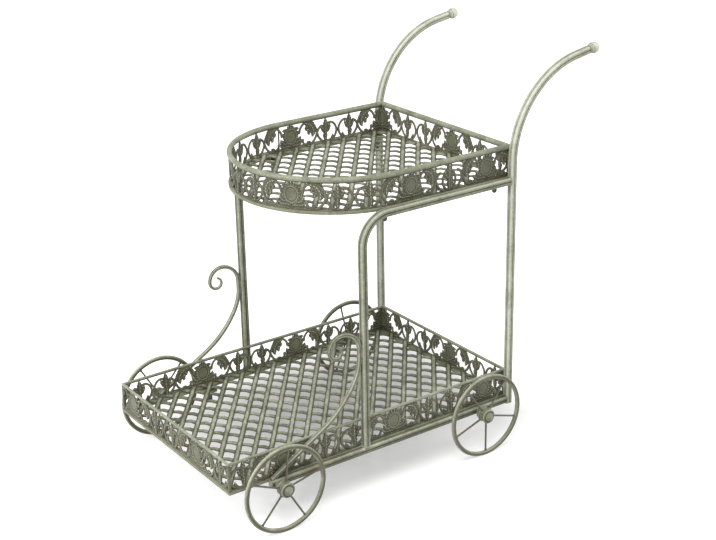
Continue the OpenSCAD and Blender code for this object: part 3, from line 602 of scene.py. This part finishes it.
def weave(node, start, slant, inside, thickness, heights, tones, gap_shade):
    """One family of floor strips. heights are those of the strips' middles where they cross the
    other family and halfway between two crossings. tones are the lanes' wear_and_shading values, with
    painted shade at the strips' edges. More painted shade lowers them towards the strip's edges at a
    crossing, and by gap_shade all over between two, and the undersides get painted shade too."""
    strips_each_way, row_length, underside, crossing_shade = 24, 0.0035, 0.1, 0.4
    start = np.array(start)
    along = np.array([math.cos(slant), math.sin(slant)])
    across = np.array([-math.sin(slant), math.cos(slant)])
    other = np.array([math.sin(slant), math.cos(slant)])
    lanes = LANES * STRIP_W
    edge = (2 * LANES) ** 2
    crown = STRIP_CROWN * (1 - edge)
    half = LANE_HALF * thickness
    vertices, faces, wear_and_shading = [], [], []
    for k in range(-strips_each_way, strips_each_way + 1):
        middle = start + k * STRIP_PITCH * across
        spans = [inside(middle + lane * across, along) for lane in lanes]
        usable = [i for i, span in enumerate(spans) if span]
        if len(usable) < 2:
            continue
        rows = max(3, int(max(spans[i][1] - spans[i][0] for i in usable) / row_length))
        base = len(vertices)
        width = len(usable)
        for r in range(rows + 1):
            upper, lower = [], []
            for i in usable:
                t = spans[i][0] + (spans[i][1] - spans[i][0]) * r / rows
                point = middle + lanes[i] * across + t * along
                place = (middle + t * along - start) @ other / STRIP_PITCH
                between = 0.5 - 0.5 * math.cos(2 * math.pi * place)
                z = heights[0] + (heights[1] - heights[0]) * between + crown[i]
                upper.append((point[0], point[1], z + half[i]))
                lower.append((point[0], point[1], z - half[i]))
                # Painted shade towards the edges at a crossing, and all over between crossings.
                wear_and_shading.append(tones[i] - gap_shade * between - crossing_shade * edge[i] * (1 - between) ** 2)
            # The strips' undersides get painted shade.
            wear_and_shading += [underside] * width
            vertices += upper + lower
        row = 2 * width
        loop = list(range(width)) + list(range(2 * width - 1, width - 1, -1))
        for r in range(rows):
            for a, b in zip(loop, loop[1:] + loop[:1]):
                p = base + r * row
                faces.append((p + a, p + b, p + row + b, p + row + a))
        faces += [tuple(end + a for a in loop) for end in (base, base + rows * row)]
    new_piece(node + "_strips", vertices, faces, wear_and_shading, node)


def floors():
    """Both floors. The strips that slant with the bow's far side run over the others."""
    for tier, inside, z in (("lower", span_in_lower, lower_low.z), ("upper", span_in_upper, upper_low.z)):
        weave(f"{tier}_weave_a", CROSSING[tier], STRIP_SLANT, inside, STRIP_T, z + OVER_HEIGHTS,
              OVER_TONES, 0.06)
        weave(f"{tier}_weave_b", CROSSING[tier], -STRIP_SLANT, inside, 1.5 * STRIP_T, z + UNDER_HEIGHTS,
              UNDER_TONES, 0.0)


# The pressed ornament. u runs along it and v up it, in millimetres.

GALLERY_H = 57.5
PERIOD = 250.0
CELL = 1.0


class Field:
    """How far inside the metal each place lies, how far the relief stands out there, and what is
    added to its tone."""

    def __init__(self, u, v):
        self.u, self.v = np.meshgrid(u, v, indexing="ij")
        self.inside = np.full(self.u.shape, -9.0)
        self.relief = np.zeros(self.u.shape)
        self.tint = np.zeros(self.u.shape)

    def window(self, points, margin):
        low, high = np.min(points, 0) - margin, np.max(points, 0) + margin
        i = np.searchsorted(self.u[:, 0], [low[0], high[0]])
        j = np.searchsorted(self.v[0, :], [low[1], high[1]])
        return slice(*i), slice(*j)

    def add(self, window, inside, relief):
        before = self.relief[window]
        self.inside[window] = np.maximum(self.inside[window], inside)
        self.relief[window] = np.where(inside > 0, np.maximum(before, relief), before)

    def nearest(self, window, points):
        """Share of the way along a line of points and the distance from it, for each place."""
        u, v = self.u[window], self.v[window]
        steps = np.linalg.norm(np.diff(points, axis=0), axis=1)
        ends = np.concatenate([[0], np.cumsum(steps)]) / steps.sum()
        best, share = np.full(u.shape, 1e9), np.zeros(u.shape)
        for k, step in enumerate(steps):
            a, d = points[k], (points[k + 1] - points[k]) / step
            t = np.clip((u - a[0]) * d[0] + (v - a[1]) * d[1], 0, step)
            away = np.hypot(u - a[0] - t * d[0], v - a[1] - t * d[1])
            near = away < best
            best = np.where(near, away, best)
            share = np.where(near, ends[k] + t / step * (ends[k + 1] - ends[k]), share)
        return share, best

    def stroke(self, points, w0, w1, height):
        """Round rod along a line of points, w0 to w1 from its middle to its edge."""
        points = np.asarray(points, float)
        window = self.window(points, max(w0, w1) + 2)
        share, away = self.nearest(window, points)
        w = w0 + (w1 - w0) * share
        self.add(window, w - away, height * np.sqrt(np.clip(1 - (away / w) ** 2, 0, 1)))

    def leaf(self, points, width, lobes, height):
        """Acanthus leaf along a bent spine, with notched edges, a raised rib and slanted veins."""
        window = self.window(points, width + 3)
        t, away = self.nearest(window, points)
        body = np.sin(np.pi * np.clip(t, 0.001, 1) ** 0.75) ** 0.7
        slant = lobes * (t - 0.35 * away / width)
        notch = np.abs((slant % 1) - 0.5) * 2
        w = width * body * (0.72 + 0.28 * (1 - notch ** 3))
        x = np.clip(away / np.maximum(w, 0.01), 0, 1)
        veins = 0.5 + 0.5 * np.cos(2 * np.pi * (slant + 0.5))
        rib = 0.5 * np.exp(-away ** 2)
        self.add(window, w - away - 0.05, height * ((1 - x ** 2) ** 0.5 * (0.55 + 0.45 * veins) + rib))


def spline(points, fine=7):
    """A smooth line through the points."""
    points = np.asarray(points, float)
    ends = np.concatenate([[2 * points[0] - points[1]], points, [2 * points[-1] - points[-2]]])
    t = np.linspace(0, 1, fine, endpoint=False)[:, None]
    parts = [0.5 * (2 * b + (c - a) * t + (2 * a - 5 * b + 4 * c - d) * t ** 2
                    + (3 * (b - c) + d - a) * t ** 3)
             for a, b, c, d in zip(ends, ends[1:], ends[2:], ends[3:])]
    return np.concatenate(parts + [points[-1:]])


def placed(points, u0, side=1, stretch=1.0):
    """A smooth line through points that are given outward from u0, mirrored where side is -1."""
    return spline([(u0 + side * stretch * p, q) for p, q in points])


def leaves(field, table, *where):
    """Leaves from a table of their points, width, number of lobes and height."""
    for points, width, lobes, height in table:
        field.leaf(placed(points, *where), width, lobes, height)


def oval(field, u0, v0, wide, high):
    """Distance from the middle of an oval as a share of its radius, and the angle, in a window."""
    reach = 2 * max(wide, high)
    window = field.window(np.array([(u0 - reach, v0 - reach), (u0 + reach, v0 + reach)]), 0)
    x, y = (field.u[window] - u0) / wide, (field.v[window] - v0) / high
    return window, np.hypot(x, y), np.arctan2(y, x)


def knob(field, u0, v0, r, height):
    """Small half ball."""
    window, share, _ = oval(field, u0, v0, r, r)
    field.add(window, r * (1 - share), height * np.sqrt(np.clip(1 - share ** 2, 0, 1)))


# Leaves as their points outward from the middle, width, number of lobes and height
TOP_LEAF = [([(0, 46), (0, 52), (0, 59)], 5.8, 2, 1.5)]
WREATH_LEAVES = [
    ([(1, 47), (5, 50), (8, 55)], 3.4, 2, 1.2), ([(11, 42), (16, 46), (22, 46)], 4.6, 3, 1.2),
    ([(15, 33), (20, 36), (25, 34)], 4.8, 3, 1.3), ([(8, 17), (15, 16), (22, 20), (26, 28)], 7.1, 5, 1.6),
    ([(3, 9), (12, 10), (21, 10), (29, 14)], 6.7, 5, 1.5),
    ([(4, 3), (15, 4), (27, 4), (35, 6)], 4.1, 5, 1.2)]
ARCH_LEAVES = [
    ([(37, 54), (47, 51), (55, 45), (59, 36), (59, 27), (56, 19)], 10.6, 7, 2.0),
    ([(45, 47), (42, 41), (44, 35)], 5.3, 3, 1.5), ([(52, 38), (48, 31), (49, 25)], 5.3, 3, 1.5),
    ([(40, 4), (46, 9), (53, 10)], 3.9, 3, 1.1)]
BUD_LEAVES = [([(0, 27), (0, 40), (0, 57)], 7.6, 4, 2.0), ([(0, 28), (-1.5, 16), (0, 2)], 6.4, 4, 1.7)]
BUD_LOBES = [([(0, 27), (5, 31), (10, 37), (12, 43)], 5.5, 3, 1.6),
             ([(0, 28), (6, 27), (11, 29)], 3.4, 2, 1.2)]
CURL_LEAF = [([(104, 4), (110, 9), (112, 18)], 3.9, 3, 1.2)]
LONE_BUD_LEAVES = [([(0, 26), (0, 40), (0, 57)], 7.8, 4, 2.0), ([(0, 28), (0, 16), (0, 2)], 6.4, 4, 1.7)]
LONE_BUD_LOBE = [([(0, 26), (5, 30), (10, 36), (12, 43)], 5.5, 3, 1.6)]


def medallion(field, u0):
    """Dished oval in a raised ring, a wreath of petals, a bud on top and spreading leaves below."""
    centre_v, wide, high, petals = 31.0, 13.2, 15.6, 19
    window, share, angle = oval(field, u0, centre_v, wide, high)
    ray = np.abs(np.cos(petals / 2 * (angle - math.pi / 2)))
    edge = 1.34 + 0.18 * ray ** 0.6
    disc = 1.3 * np.clip((1.0 - share) * 8, 0, 1) * (0.75 + 0.25 * share ** 2)
    ring = 2.3 * np.exp(-((share - 1.05) / 0.09) ** 2)
    petal = np.where(share > 1.14, (0.4 + 1.2 * ray) * np.clip((edge - share) * 5, 0, 1) ** 0.5, 0)
    field.add(window, wide * (edge - share), disc + ring + petal + 0.15)
    # The dish is made lighter, and the crease round it, inside the raised ring, gets painted shade.
    field.tint[window] += np.where(share < 0.84, 0.24, 0) - 0.30 * np.exp(-((share - 0.90) / 0.06) ** 2)
    leaves(field, TOP_LEAF, u0)
    field.stroke([(u0, 18), (u0, 0)], 4.5, 6.0, 1.2)
    for side in (-1, 1):
        leaves(field, WREATH_LEAVES, u0, side)
        knob(field, u0 + side * 31, 16, 4.0, 1.9)


def arch(field, u0, side, stretch):
    """Ring of two stems beside the medallion at u0, with a great leaf that bends over its far side.
    The stems cross there and run on, one to the foot and one up into the bud."""
    over = [(23, 34), (25, 43), (32, 51.5), (42, 55), (53, 53), (62, 46), (67, 37), (70, 27),
            (74, 16), (82, 7), (90, 3)]
    under = [(31, 15), (34, 8), (43, 4.5), (54, 5.5), (62, 12), (67, 20), (70, 27), (75, 36), (82, 41)]
    for stem in (over, under):
        field.stroke(placed(stem, u0, side, stretch), 2.7, 2.8, 1.5)
    leaves(field, ARCH_LEAVES, u0, side, stretch)
    knob(field, u0 + side * stretch * 70, 27, 2.9, 1.9)


def bud(field, u0, side, stretch):
    """Three-lobed bud over a narrow leaf, with the stem that curls round its outer side."""
    middle = u0 + side * stretch * 93
    curl = [(99, 44), (106, 45.5), (114, 42), (120, 34), (122, 24), (118, 13), (110, 5), (102, 2)]
    leaves(field, BUD_LEAVES, middle, side)
    for lobe in (-1, 1):
        leaves(field, BUD_LOBES, middle, lobe)
    field.stroke(placed(curl, u0, side, stretch), 2.6, 2.8, 1.5)
    leaves(field, CURL_LEAF, u0, side, stretch)


def lone_bud(field, middle):
    """Bud with a curled stem on both sides, where two medallions stand close together."""
    curl = [(0, 2), (9, 6), (15, 15), (16, 26), (12, 37), (5, 44)]
    leaves(field, LONE_BUD_LEAVES, middle)
    for side in (-1, 1):
        leaves(field, LONE_BUD_LOBE, middle, side)
        field.stroke(placed(curl, middle, side), 2.8, 2.5, 1.5)


def ornament(marks, u0, u1):
    """The field of a side from u0 to u1, with medallions at the marks and past them."""
    hair, reach, roomy_from, tight_stretch = 0.01, 50, 0.88 * PERIOD, 0.9
    u = np.concatenate([[u0 - hair], np.linspace(u0, u1, int((u1 - u0) / CELL) + 1), [u1 + hair]])
    v = np.concatenate([[-hair], np.linspace(0, GALLERY_H, int(GALLERY_H / CELL) + 1), [GALLERY_H + hair]])
    field = Field(u, v)
    marks = ([marks[0] - k * PERIOD for k in (3, 2, 1)] + list(marks)
             + [marks[-1] + k * PERIOD for k in (1, 2, 3)])
    for mark in marks:
        if u0 - reach < mark < u1 + reach:
            medallion(field, mark)
    for a, b in zip(marks, marks[1:]):
        if b < u0 or a > u1:
            continue
        roomy = b - a > roomy_from
        stretch = (b - a) / PERIOD if roomy else tight_stretch
        for mark, side in ((a, 1), (b, -1)):
            arch(field, mark, side, stretch)
            if roomy:
                bud(field, mark, side, stretch)
        if not roomy:
            lone_bud(field, (a + b) / 2)
    foot, top, end = 3.4, 1.6, 1.6
    everywhere = (slice(None), slice(None))
    for low, high, height in ((0, foot, 1.5), (GALLERY_H - top, GALLERY_H, 0.8)):
        middle, half = (low + high) / 2, (high - low) / 2
        inside = half - np.abs(field.v - middle) + 0.05
        field.add(everywhere, inside, height * np.sqrt(np.clip(inside / half, 0, 1)))
    for edge in (u0, u1):
        inside = end - np.abs(field.u - edge)
        field.add(everywhere, inside, 0.6 * np.clip(inside / end, 0, 1))
    for rim in (field.inside[:1], field.inside[-1:], field.inside[:, :1], field.inside[:, -1:]):
        rim[...] = -1e-3
    return field


# The polygons that fill a cell, for each set of its corners that lie inside: corner k adds 2 ** k to
# the key. Corners 0 to 3 run round from the low one, and cut k + 4 is on the side that starts at corner k.
FILLED = {
    1: [(0, 4, 7)], 2: [(1, 5, 4)], 3: [(0, 1, 5, 7)], 4: [(2, 6, 5)], 5: [(0, 4, 7), (2, 6, 5)],
    6: [(1, 2, 6, 4)], 7: [(0, 1, 2, 6, 7)], 8: [(3, 7, 6)], 9: [(0, 4, 6, 3)],
    10: [(1, 5, 4), (3, 7, 6)], 11: [(0, 1, 5, 6, 3)], 12: [(2, 3, 7, 5)], 13: [(0, 4, 5, 2, 3)],
    14: [(1, 2, 3, 7, 4)], 15: [(0, 1, 2, 3)],
}


def spread(values, reach):
    """Mean over a square of cells round each cell."""
    for axis in (0, 1):
        width = [(0, 0), (0, 0)]
        width[axis] = (reach + 1, reach)
        total = np.cumsum(np.pad(values, width, mode="edge"), axis=axis)
        count = values.shape[axis]
        low = np.take(total, range(count), axis=axis)
        high = np.take(total, range(2 * reach + 1, 2 * reach + 1 + count), axis=axis)
        values = (high - low) / (2 * reach + 1)
    return values


def cut_out(field):
    """The field's metal as flat points (u, v, relief, tone), polygons, and its outline's edges. The tone is
    the wear_and_shading value: rubbed lighter on raised relief, with a painted highlight on ridges, painted
    shade in the hollows between them and painted shade on the cut edges."""
    low, high, every = slice(0, -1), slice(1, None), slice(None)
    corner_places = ((low, low), (high, low), (high, high), (low, high))
    # The cut edges get the darkest value: painted shade.
    outline_tone = -0.1
    inside = field.inside
    solid = inside > 0
    relief = np.where(solid, field.relief, 0)
    # Raised relief is rubbed lighter; what stands above its surroundings gets a painted highlight, and what
    # lies below them painted shade.
    tone = field.tint - 0.10 + 0.16 * relief + 0.75 * (relief - spread(relief, 2))
    total = int(solid.sum())
    ids = np.full(inside.shape, -1)
    ids[solid] = np.arange(total)
    points = [np.c_[field.u[solid], field.v[solid], relief[solid], tone[solid]]]
    cuts = []
    for first, second in (((low, every), (high, every)), ((every, low), (every, high))):
        crossed = solid[first] != solid[second]
        share = inside[first][crossed] / (inside[first][crossed] - inside[second][crossed])
        u = field.u[first][crossed] + share * (field.u[second] - field.u[first])[crossed]
        v = field.v[first][crossed] + share * (field.v[second] - field.v[first])[crossed]
        number = np.full(crossed.shape, -1)
        number[crossed] = total + np.arange(len(u))
        total += len(u)
        points.append(np.c_[u, v, np.zeros(len(u)), np.full(len(u), outline_tone)])
        cuts.append(number)
    across_u, across_v = cuts
    corner = [ids[place] for place in corner_places] + [
        across_u[:, :-1], across_v[1:, :], across_u[:, 1:], across_v[:-1, :]]
    kind = sum(solid[place].astype(int) << k for k, place in enumerate(corner_places))
    polygons, outline = [], []
    for case, shapes in FILLED.items():
        cells = kind == case
        for shape in shapes:
            polygons += np.stack([corner[k][cells] for k in shape], axis=1).tolist()
            for a, b in zip(shape, shape[1:] + shape[:1]):
                if a > 3 and b > 3:
                    outline += np.stack([corner[a][cells], corner[b][cells]], axis=1).tolist()
    return np.concatenate(points), polygons, outline


# How much lighter than the other sides, or darker, each side is painted for the light that falls on it:
# painted light and shade
SIDE_PAINTED_LIGHT = {"lower_gallery_far": 0.05, "lower_gallery_front": 0.04, "lower_gallery_near": -0.04,
              "upper_gallery_near": -0.10, "upper_gallery_bow": -0.07}


def gallery(node, marks, u0, u1, place):
    """A pressed side with relief on both faces. place turns (u, v, out) into points in metres, where
    out is how far the point lies outward from the sheet's middle, in millimetres."""
    flat, polygons, outline = cut_out(ornament(marks, u0, u1))
    half_sheet, outer, inner = 0.6, 0.80, 0.60
    front = place(flat[:, 0], flat[:, 1], half_sheet + outer * flat[:, 2])
    back = place(flat[:, 0], flat[:, 1], -half_sheet - inner * flat[:, 2])
    count = len(flat)
    faces = ([tuple(p) for p in polygons] + [tuple(count + i for i in reversed(p)) for p in polygons]
             + [(b, a, count + a, count + b) for a, b in outline])
    tone = np.clip(flat[:, 3] + SIDE_PAINTED_LIGHT.get(node, 0), -0.1, 1)
    tones = np.r_[tone, 0.9 * tone]
    new_piece(node + "_relief", np.concatenate([front, back]), faces, tones, node, sharp=70)


def flat_side(x, y, z, along, outward):
    """The place function of a flat side that starts at x, y, z. along and outward are in plan."""
    def place(u, v, out):
        return np.c_[x + (along[0] * u + outward[0] * out) * MM,
                     y + (along[1] * u + outward[1] * out) * MM, z + v * MM]
    return place


# Where the medallions stand along each side, in millimetres from its start
MARKS = {
    "lower_near": (62, 302, 575), "lower_far": (6, 256, 504), "lower_front": (129, 400),
    "lower_rear": (189, 439), "upper": (60, 253, 503, 749, 1002), "upper_rear": (184, 434),
}


def galleries():
    """All eight sides. Each has its middle sheet inside the bars that frame it."""
    bar, depth, facets = 5.0, 3.05 * MM, 14
    length = (edge_high.x - edge_low.x) / MM
    width = (edge_high.y - edge_low.y) / MM
    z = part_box("lower_gallery_near")[0].z
    for side, sign in SIDES.items():
        place = flat_side(edge_high.x, sign * (edge_high.y - depth), z, (-1, 0), (0, sign))
        gallery(f"lower_gallery_{side}", MARKS[f"lower_{side}"], bar, length - bar, place)
    for end, x, sign in (("front", edge_low.x, -1), ("rear", edge_high.x, 1)):
        place = flat_side(x - sign * depth, edge_low.y, z, (0, 1), (sign, 0))
        gallery(f"lower_gallery_{end}", MARKS[f"lower_{end}"], bar, width - bar, place)

    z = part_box("upper_gallery_near")[0].z
    bow_from = (REAR_X - BOW_X) / MM
    bow_length = facets * 2 * BOW_R / MM * math.tan(math.pi / facets / 2)
    bow_to = bow_from + bow_length
    total = bow_to + bow_from

    def round_bow(u, v, out):
        angle = math.pi * (u - bow_from) / bow_length
        r = BOW_R + out * MM
        return np.c_[BOW_X - r * np.sin(angle), -r * np.cos(angle), z + v * MM]

    near_side = flat_side(REAR_X, -BOW_R, z, (-1, 0), (0, -1))
    far_side = flat_side(REAR_X - total * MM, BOW_R, z, (1, 0), (0, 1))
    across_rear = flat_side(REAR_X, -BOW_R, z, (0, 1), (1, 0))
    gallery("upper_gallery_near", MARKS["upper"], bar / 2, bow_from, near_side)
    gallery("upper_gallery_bow", MARKS["upper"], bow_from, bow_to, round_bow)
    gallery("upper_gallery_far", MARKS["upper"], bow_to, total - bar / 2, far_side)
    gallery("upper_gallery_rear", MARKS["upper_rear"], bar / 2, 2 * BOW_R / MM - bar / 2, across_rear)


# Wheels

# The angle of the first spoke, in degrees from +X towards +Z
FIRST_SPOKE = {"front_near": 12, "front_far": 48, "rear_near": 54, "rear_far": 30}


def wheels():
    """Rolled rim, five spokes and a turned hub, one set for each wheel's body."""
    for name, turn in FIRST_SPOKE.items():
        sign = SIDES[name.split("_")[1]]
        low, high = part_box(name + "_rim")
        middle = (low + high) / 2
        rod = high.y - low.y
        rim_r = (high.z - low.z - rod) / 2
        low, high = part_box(name + "_spokes")
        spoke_d = high.y - low.y
        low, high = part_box(name + "_hub")
        hub_r = (high.z - low.z) / 2
        wheel_rim(name, middle, rim_r, rod)
        wheel_spokes(name, middle, hub_r, rim_r - rod / 2, spoke_d, turn)
        wheel_hub(name, middle, sign, hub_r, high.y - low.y)


def wheel_rim(name, middle, rim_r, rod):
    """Round rod, rubbed on its tread, where it also gets a painted highlight, with painted light on its
    inner side and painted shade on the middle of each flank.
    """
    flank_tone, tread_rub_and_highlight, inner_painted_light, edge_shade = 0.36, 0.44, 0.30, 0.30
    path = arc((middle.x, middle.z), rim_r, 0, 360, 121)[:-1]
    outline, _ = round_profile(rod)
    outward, sideways = (outline / outline.max(axis=0)).T
    tones = (flank_tone + tread_rub_and_highlight * np.clip(outward, 0, 1) ** 3 + inner_painted_light * np.clip(-outward, 0, 1)
             - edge_shade * np.abs(sideways) ** 10)
    swept = sweep_upright(path, middle.y, (outline, tones), closed=True)
    new_piece(name + "_rim_rod", *swept, name + "_rim")


def wheel_spokes(name, middle, hub_r, rim_r, spoke_d, turn):
    """Round spokes, flared where they are welded to the hub and the rim, with a bead at the hub."""
    count, flare_length, flare_share = 5, 0.0025, 0.40
    bead_r, ring_r, bead_at = 0.0016, 0.0034, 0.0008
    tone, side_highlight = 0.02, 0.26
    rng = np.random.default_rng(turn)
    outline, _ = round_profile(spoke_d, 14)
    # Dark spokes, with a painted highlight along the two sides that face along the axle.
    profile = (outline, tone + side_highlight * np.abs(outline[:, 1] / spoke_d * 2) ** 3)
    reach = np.concatenate([np.linspace(hub_r - 0.001, hub_r + 0.004, 5),
                            np.linspace(hub_r + 0.01, rim_r - 0.008, 6),
                            np.linspace(rim_r - 0.004, rim_r + 0.001, 5)])
    ends = np.minimum(reach - hub_r, rim_r - reach) / flare_length
    flare = 1 + flare_share * np.exp(-np.maximum(ends, -0.4) ** 2)
    turns = np.linspace(0, 2 * math.pi, 19)[:-1]
    meshes = []
    for k in range(count):
        angle = math.radians(turn + 360 / count * k)
        along = np.array([math.cos(angle), math.sin(angle)])
        square = np.array([-along[1], along[0]])
        path = np.array([middle.x, middle.z]) + reach[:, None] * along
        meshes.append(sweep_upright(path, middle.y, profile, flare))
        ring = path[0] + bead_at * along + ring_r * np.sin(turns)[:, None] * square
        beaded = np.c_[ring[:, 0], middle.y + ring_r * np.cos(turns), ring[:, 1]]
        meshes.append(bead(beaded, (along[0], 0, along[1]), bead_r, rng, True))
    new_piece(name + "_spokes_rods", *joined(meshes), name + "_spokes")


def wheel_hub(name, middle, sign, hub_r, hub_w):
    """Turned hub with a flange at each end and two ridges round its barrel, bored for the axle."""
    half, bore, dip, ridge = hub_w / 2, 0.00505, 0.0016, 0.0007
    flange, bevel, face_dip = 0.0034, 0.0009, 0.0009
    barrel = []
    for t in np.linspace(-1, 1, 19):
        wave = math.cos(t * 3 * math.pi) ** 2
        barrel.append((hub_r - dip + ridge * wave, (half - flange - 0.001) * t, 0.25 + 0.35 * wave))
    # Its edges and ridges are rubbed lighter, and the groove in its face and its bore are painted dark as
    # shade in a recess.
    profile = ([(bore, -half, 0.1), (hub_r - bevel, -half, 0.5), (hub_r, bevel - half, 0.75),
                (hub_r, flange - half, 0.6)] + barrel
               + [(hub_r, half - flange, 0.6), (hub_r, half - bevel, 0.75), (hub_r - bevel, half, 0.55),
                  (hub_r * 0.80, half, 0.35), (hub_r * 0.77, half - face_dip, 0.05),
                  (hub_r * 0.68, half - face_dip, 0.05), (hub_r * 0.65, half, 0.4), (bore, half, 0.2),
                  (bore, -half, 0.1)])
    new_piece(name + "_hub_turned", *lathe(profile, middle, (0, sign, 0), 48), name + "_hub")


def axle_nuts():
    """Hexagonal cap nuts with a dome, one on each stub axle."""
    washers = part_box("axle_washers")[1].y
    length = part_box("axle_nuts")[1].y - washers
    corner_r, chamfer, hexagon_h, dome_from = 0.0085, 0.0008, 0.0036, 0.0030
    dome_r = corner_r * 0.78
    hexagon = [(0.0, 0.0, 0.1), (corner_r - chamfer, 0.0, 0.4), (corner_r, 0.0006, 0.7),
               (corner_r, hexagon_h - chamfer, 0.7), (corner_r - 0.0012, hexagon_h, 0.75),
               (0.0, hexagon_h, 0.2)]
    dome = [(0.0, dome_from, 0.1)] + [
        (dome_r * math.cos(a), dome_from + (length - dome_from) * math.sin(a), 0.35 + 0.35 * math.sin(a))
        for a in np.radians(np.linspace(0, 90, 9))]
    meshes = []
    for name in FIRST_SPOKE:
        sign = SIDES[name.split("_")[1]]
        middle = sum(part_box(name + "_hub"), Vector()) / 2
        foot = Vector((middle.x, sign * washers, middle.z))
        meshes += [lathe(hexagon, foot, (0, sign, 0), 6), lathe(dome, foot, (0, sign, 0), 32)]
    new_piece("axle_cap_nuts", *joined(meshes), "axle_nuts")


# Stage

def directly_seen(add):
    """1 for what the camera and the gloss see, and 0 for the light that falls on the cart."""
    rays = add("ShaderNodeLightPath").outputs
    return compute(add, "MAXIMUM", rays["Is Camera Ray"], rays["Is Glossy Ray"])


def pale_floor():
    """Floor that takes the cart's shadow. What is seen of it glows: weakly under the cart, which paints a
    shadow there on top of the cast one, and up to white away from the cart.
    """
    half = 40.0
    # Where the glow rises, along X and Y, from the painted shadow under the cart to white.
    painted_shadow_bounds = (("X", 0.28, 0.52), ("X", 0.00, -0.80), ("Y", 0.30, 0.56), ("Y", 0.05, -0.60))
    mesh = bpy.data.meshes.new("floor")
    corners = [(-half, -half, 0), (half, -half, 0), (half, half, 0), (-half, half, 0)]
    mesh.from_pydata(corners, [], [(0, 1, 2, 3)])
    floor = bpy.data.objects.new("floor", mesh)
    bpy.context.scene.collection.objects.link(floor)
    material = bpy.data.materials.new("pale_floor")
    add = cleared(material)
    place = add("ShaderNodeSeparateXYZ", {0: add("ShaderNodeTexCoord").outputs["Object"]}).outputs
    clear = 0.0
    for axis, start, end in painted_shadow_bounds:
        side = add("ShaderNodeMapRange", {"Value": place[axis], "From Min": start, "From Max": end},
                   interpolation_type="SMOOTHSTEP").outputs["Result"]
        clear = compute(add, "MAXIMUM", clear, side)
    level = add("ShaderNodeMapRange", {"Value": clear, "To Min": 0.12, "To Max": 0.95}).outputs["Result"]
    lift = compute(add, "MULTIPLY", directly_seen(add), level)
    diffuse = add("ShaderNodeBsdfDiffuse", {"Color": (0.70, 0.70, 0.69, 1)})
    glow = add("ShaderNodeEmission", {"Color": (1, 1, 1, 1), "Strength": lift})
    both = add("ShaderNodeAddShader", {0: diffuse.outputs[0], 1: glow.outputs[0]})
    add("ShaderNodeOutputMaterial", {"Surface": both.outputs[0]})
    mesh.materials.append(material)


def white_world():
    """White all round, but dimmer in the light that it sheds on the cart."""
    world = bpy.data.worlds.new("white_studio")
    add = cleared(world)
    strength = add("ShaderNodeMapRange", {"Value": directly_seen(add), "To Min": 0.42, "To Max": 1.0})
    sky = add("ShaderNodeBackground", {"Color": (1, 1, 1, 1), "Strength": strength.outputs["Result"]})
    add("ShaderNodeOutputWorld", {"Surface": sky.outputs[0]})
    bpy.context.scene.world = world


def lamps():
    """Three soft square lamps, all turned to the middle of the cart."""
    aim = Vector((0, 0, 0.4))
    for name, place, size, power in (("key", (-1.4, -1.35, 3.4), 2.0, 92),
                                     ("side", (2.8, -1.2, 1.6), 1.6, 40),
                                     ("front", (-2.6, 0.4, 1.4), 1.4, 34)):
        lamp = bpy.data.lights.new(name, "AREA")
        lamp.size = size
        lamp.energy = power
        light = bpy.data.objects.new(name, lamp)
        light.location = place
        light.rotation_euler = (aim - Vector(place)).to_track_quat("-Z", "Y").to_euler()
        bpy.context.scene.collection.objects.link(light)


def camera():
    """The photograph's camera: a long lens, looking down from the front, near side."""
    azimuth, elevation, roll = np.radians([-35.1505, 21.5887, -1.1134])
    target, distance, lens = np.array([0.0066, 0.0, 0.3852]), 3.0976, 72.26
    back = np.array([math.sin(azimuth) * math.cos(elevation), -math.cos(azimuth) * math.cos(elevation),
                     math.sin(elevation)])
    level = np.array([math.cos(azimuth), math.sin(azimuth), 0.0])
    steep = np.cross(back, level)
    right = math.cos(roll) * level + math.sin(roll) * steep
    up = math.cos(roll) * steep - math.sin(roll) * level
    data = bpy.data.cameras.new("camera")
    data.sensor_fit = "HORIZONTAL"
    data.sensor_width = 36.0
    data.lens = lens
    data.clip_end = 100.0
    eye = bpy.data.objects.new("camera", data)
    turned = np.c_[right, up, back, target + distance * back]
    eye.matrix_world = Matrix([*turned.tolist(), (0, 0, 0, 1)])
    bpy.context.scene.collection.objects.link(eye)
    bpy.context.scene.camera = eye


camera()
rear_posts()
front_posts()
side_rails()
scroll_braces()
handle_knobs()
frame_welds()
upper_rims()
floors()
galleries()
wheels()
axle_nuts()

# Pieces that keep the CAD's shape: how wide their edges are rounded, and the wear_and_shading values of
# their faces and of their rubbed edges
for width, face_tone, edge_tone, soft_nodes in (
        (0.0012, 0.18, 0.54, ["lower_edge_bar"]),
        (0.0006, 0.18, 0.48, ["lower_bottom_frame", "upper_bottom_frame"]),
        (0.0006, 0.04, 0.28, ["lower_corner_bars", "upper_corner_bars"]),
        (0.0005, 0.20, 0.55, ["axle_plates", "lower_tabs", "lower_lugs", "upper_tabs", "upper_lugs",
                              "tube_caps"]),
        (0.0003, 0.45, 0.85, ["axle_washers", "axle_spacers", "axle_studs", "lower_bolts", "lower_cap_nuts",
                              "upper_bolts", "upper_cap_nuts"])):
    for soft_node in soft_nodes:
        softened(soft_node, width, face_tone, edge_tone)

pale_floor()
white_world()
lamps()
bpy.context.scene.view_settings.view_transform = "Standard"
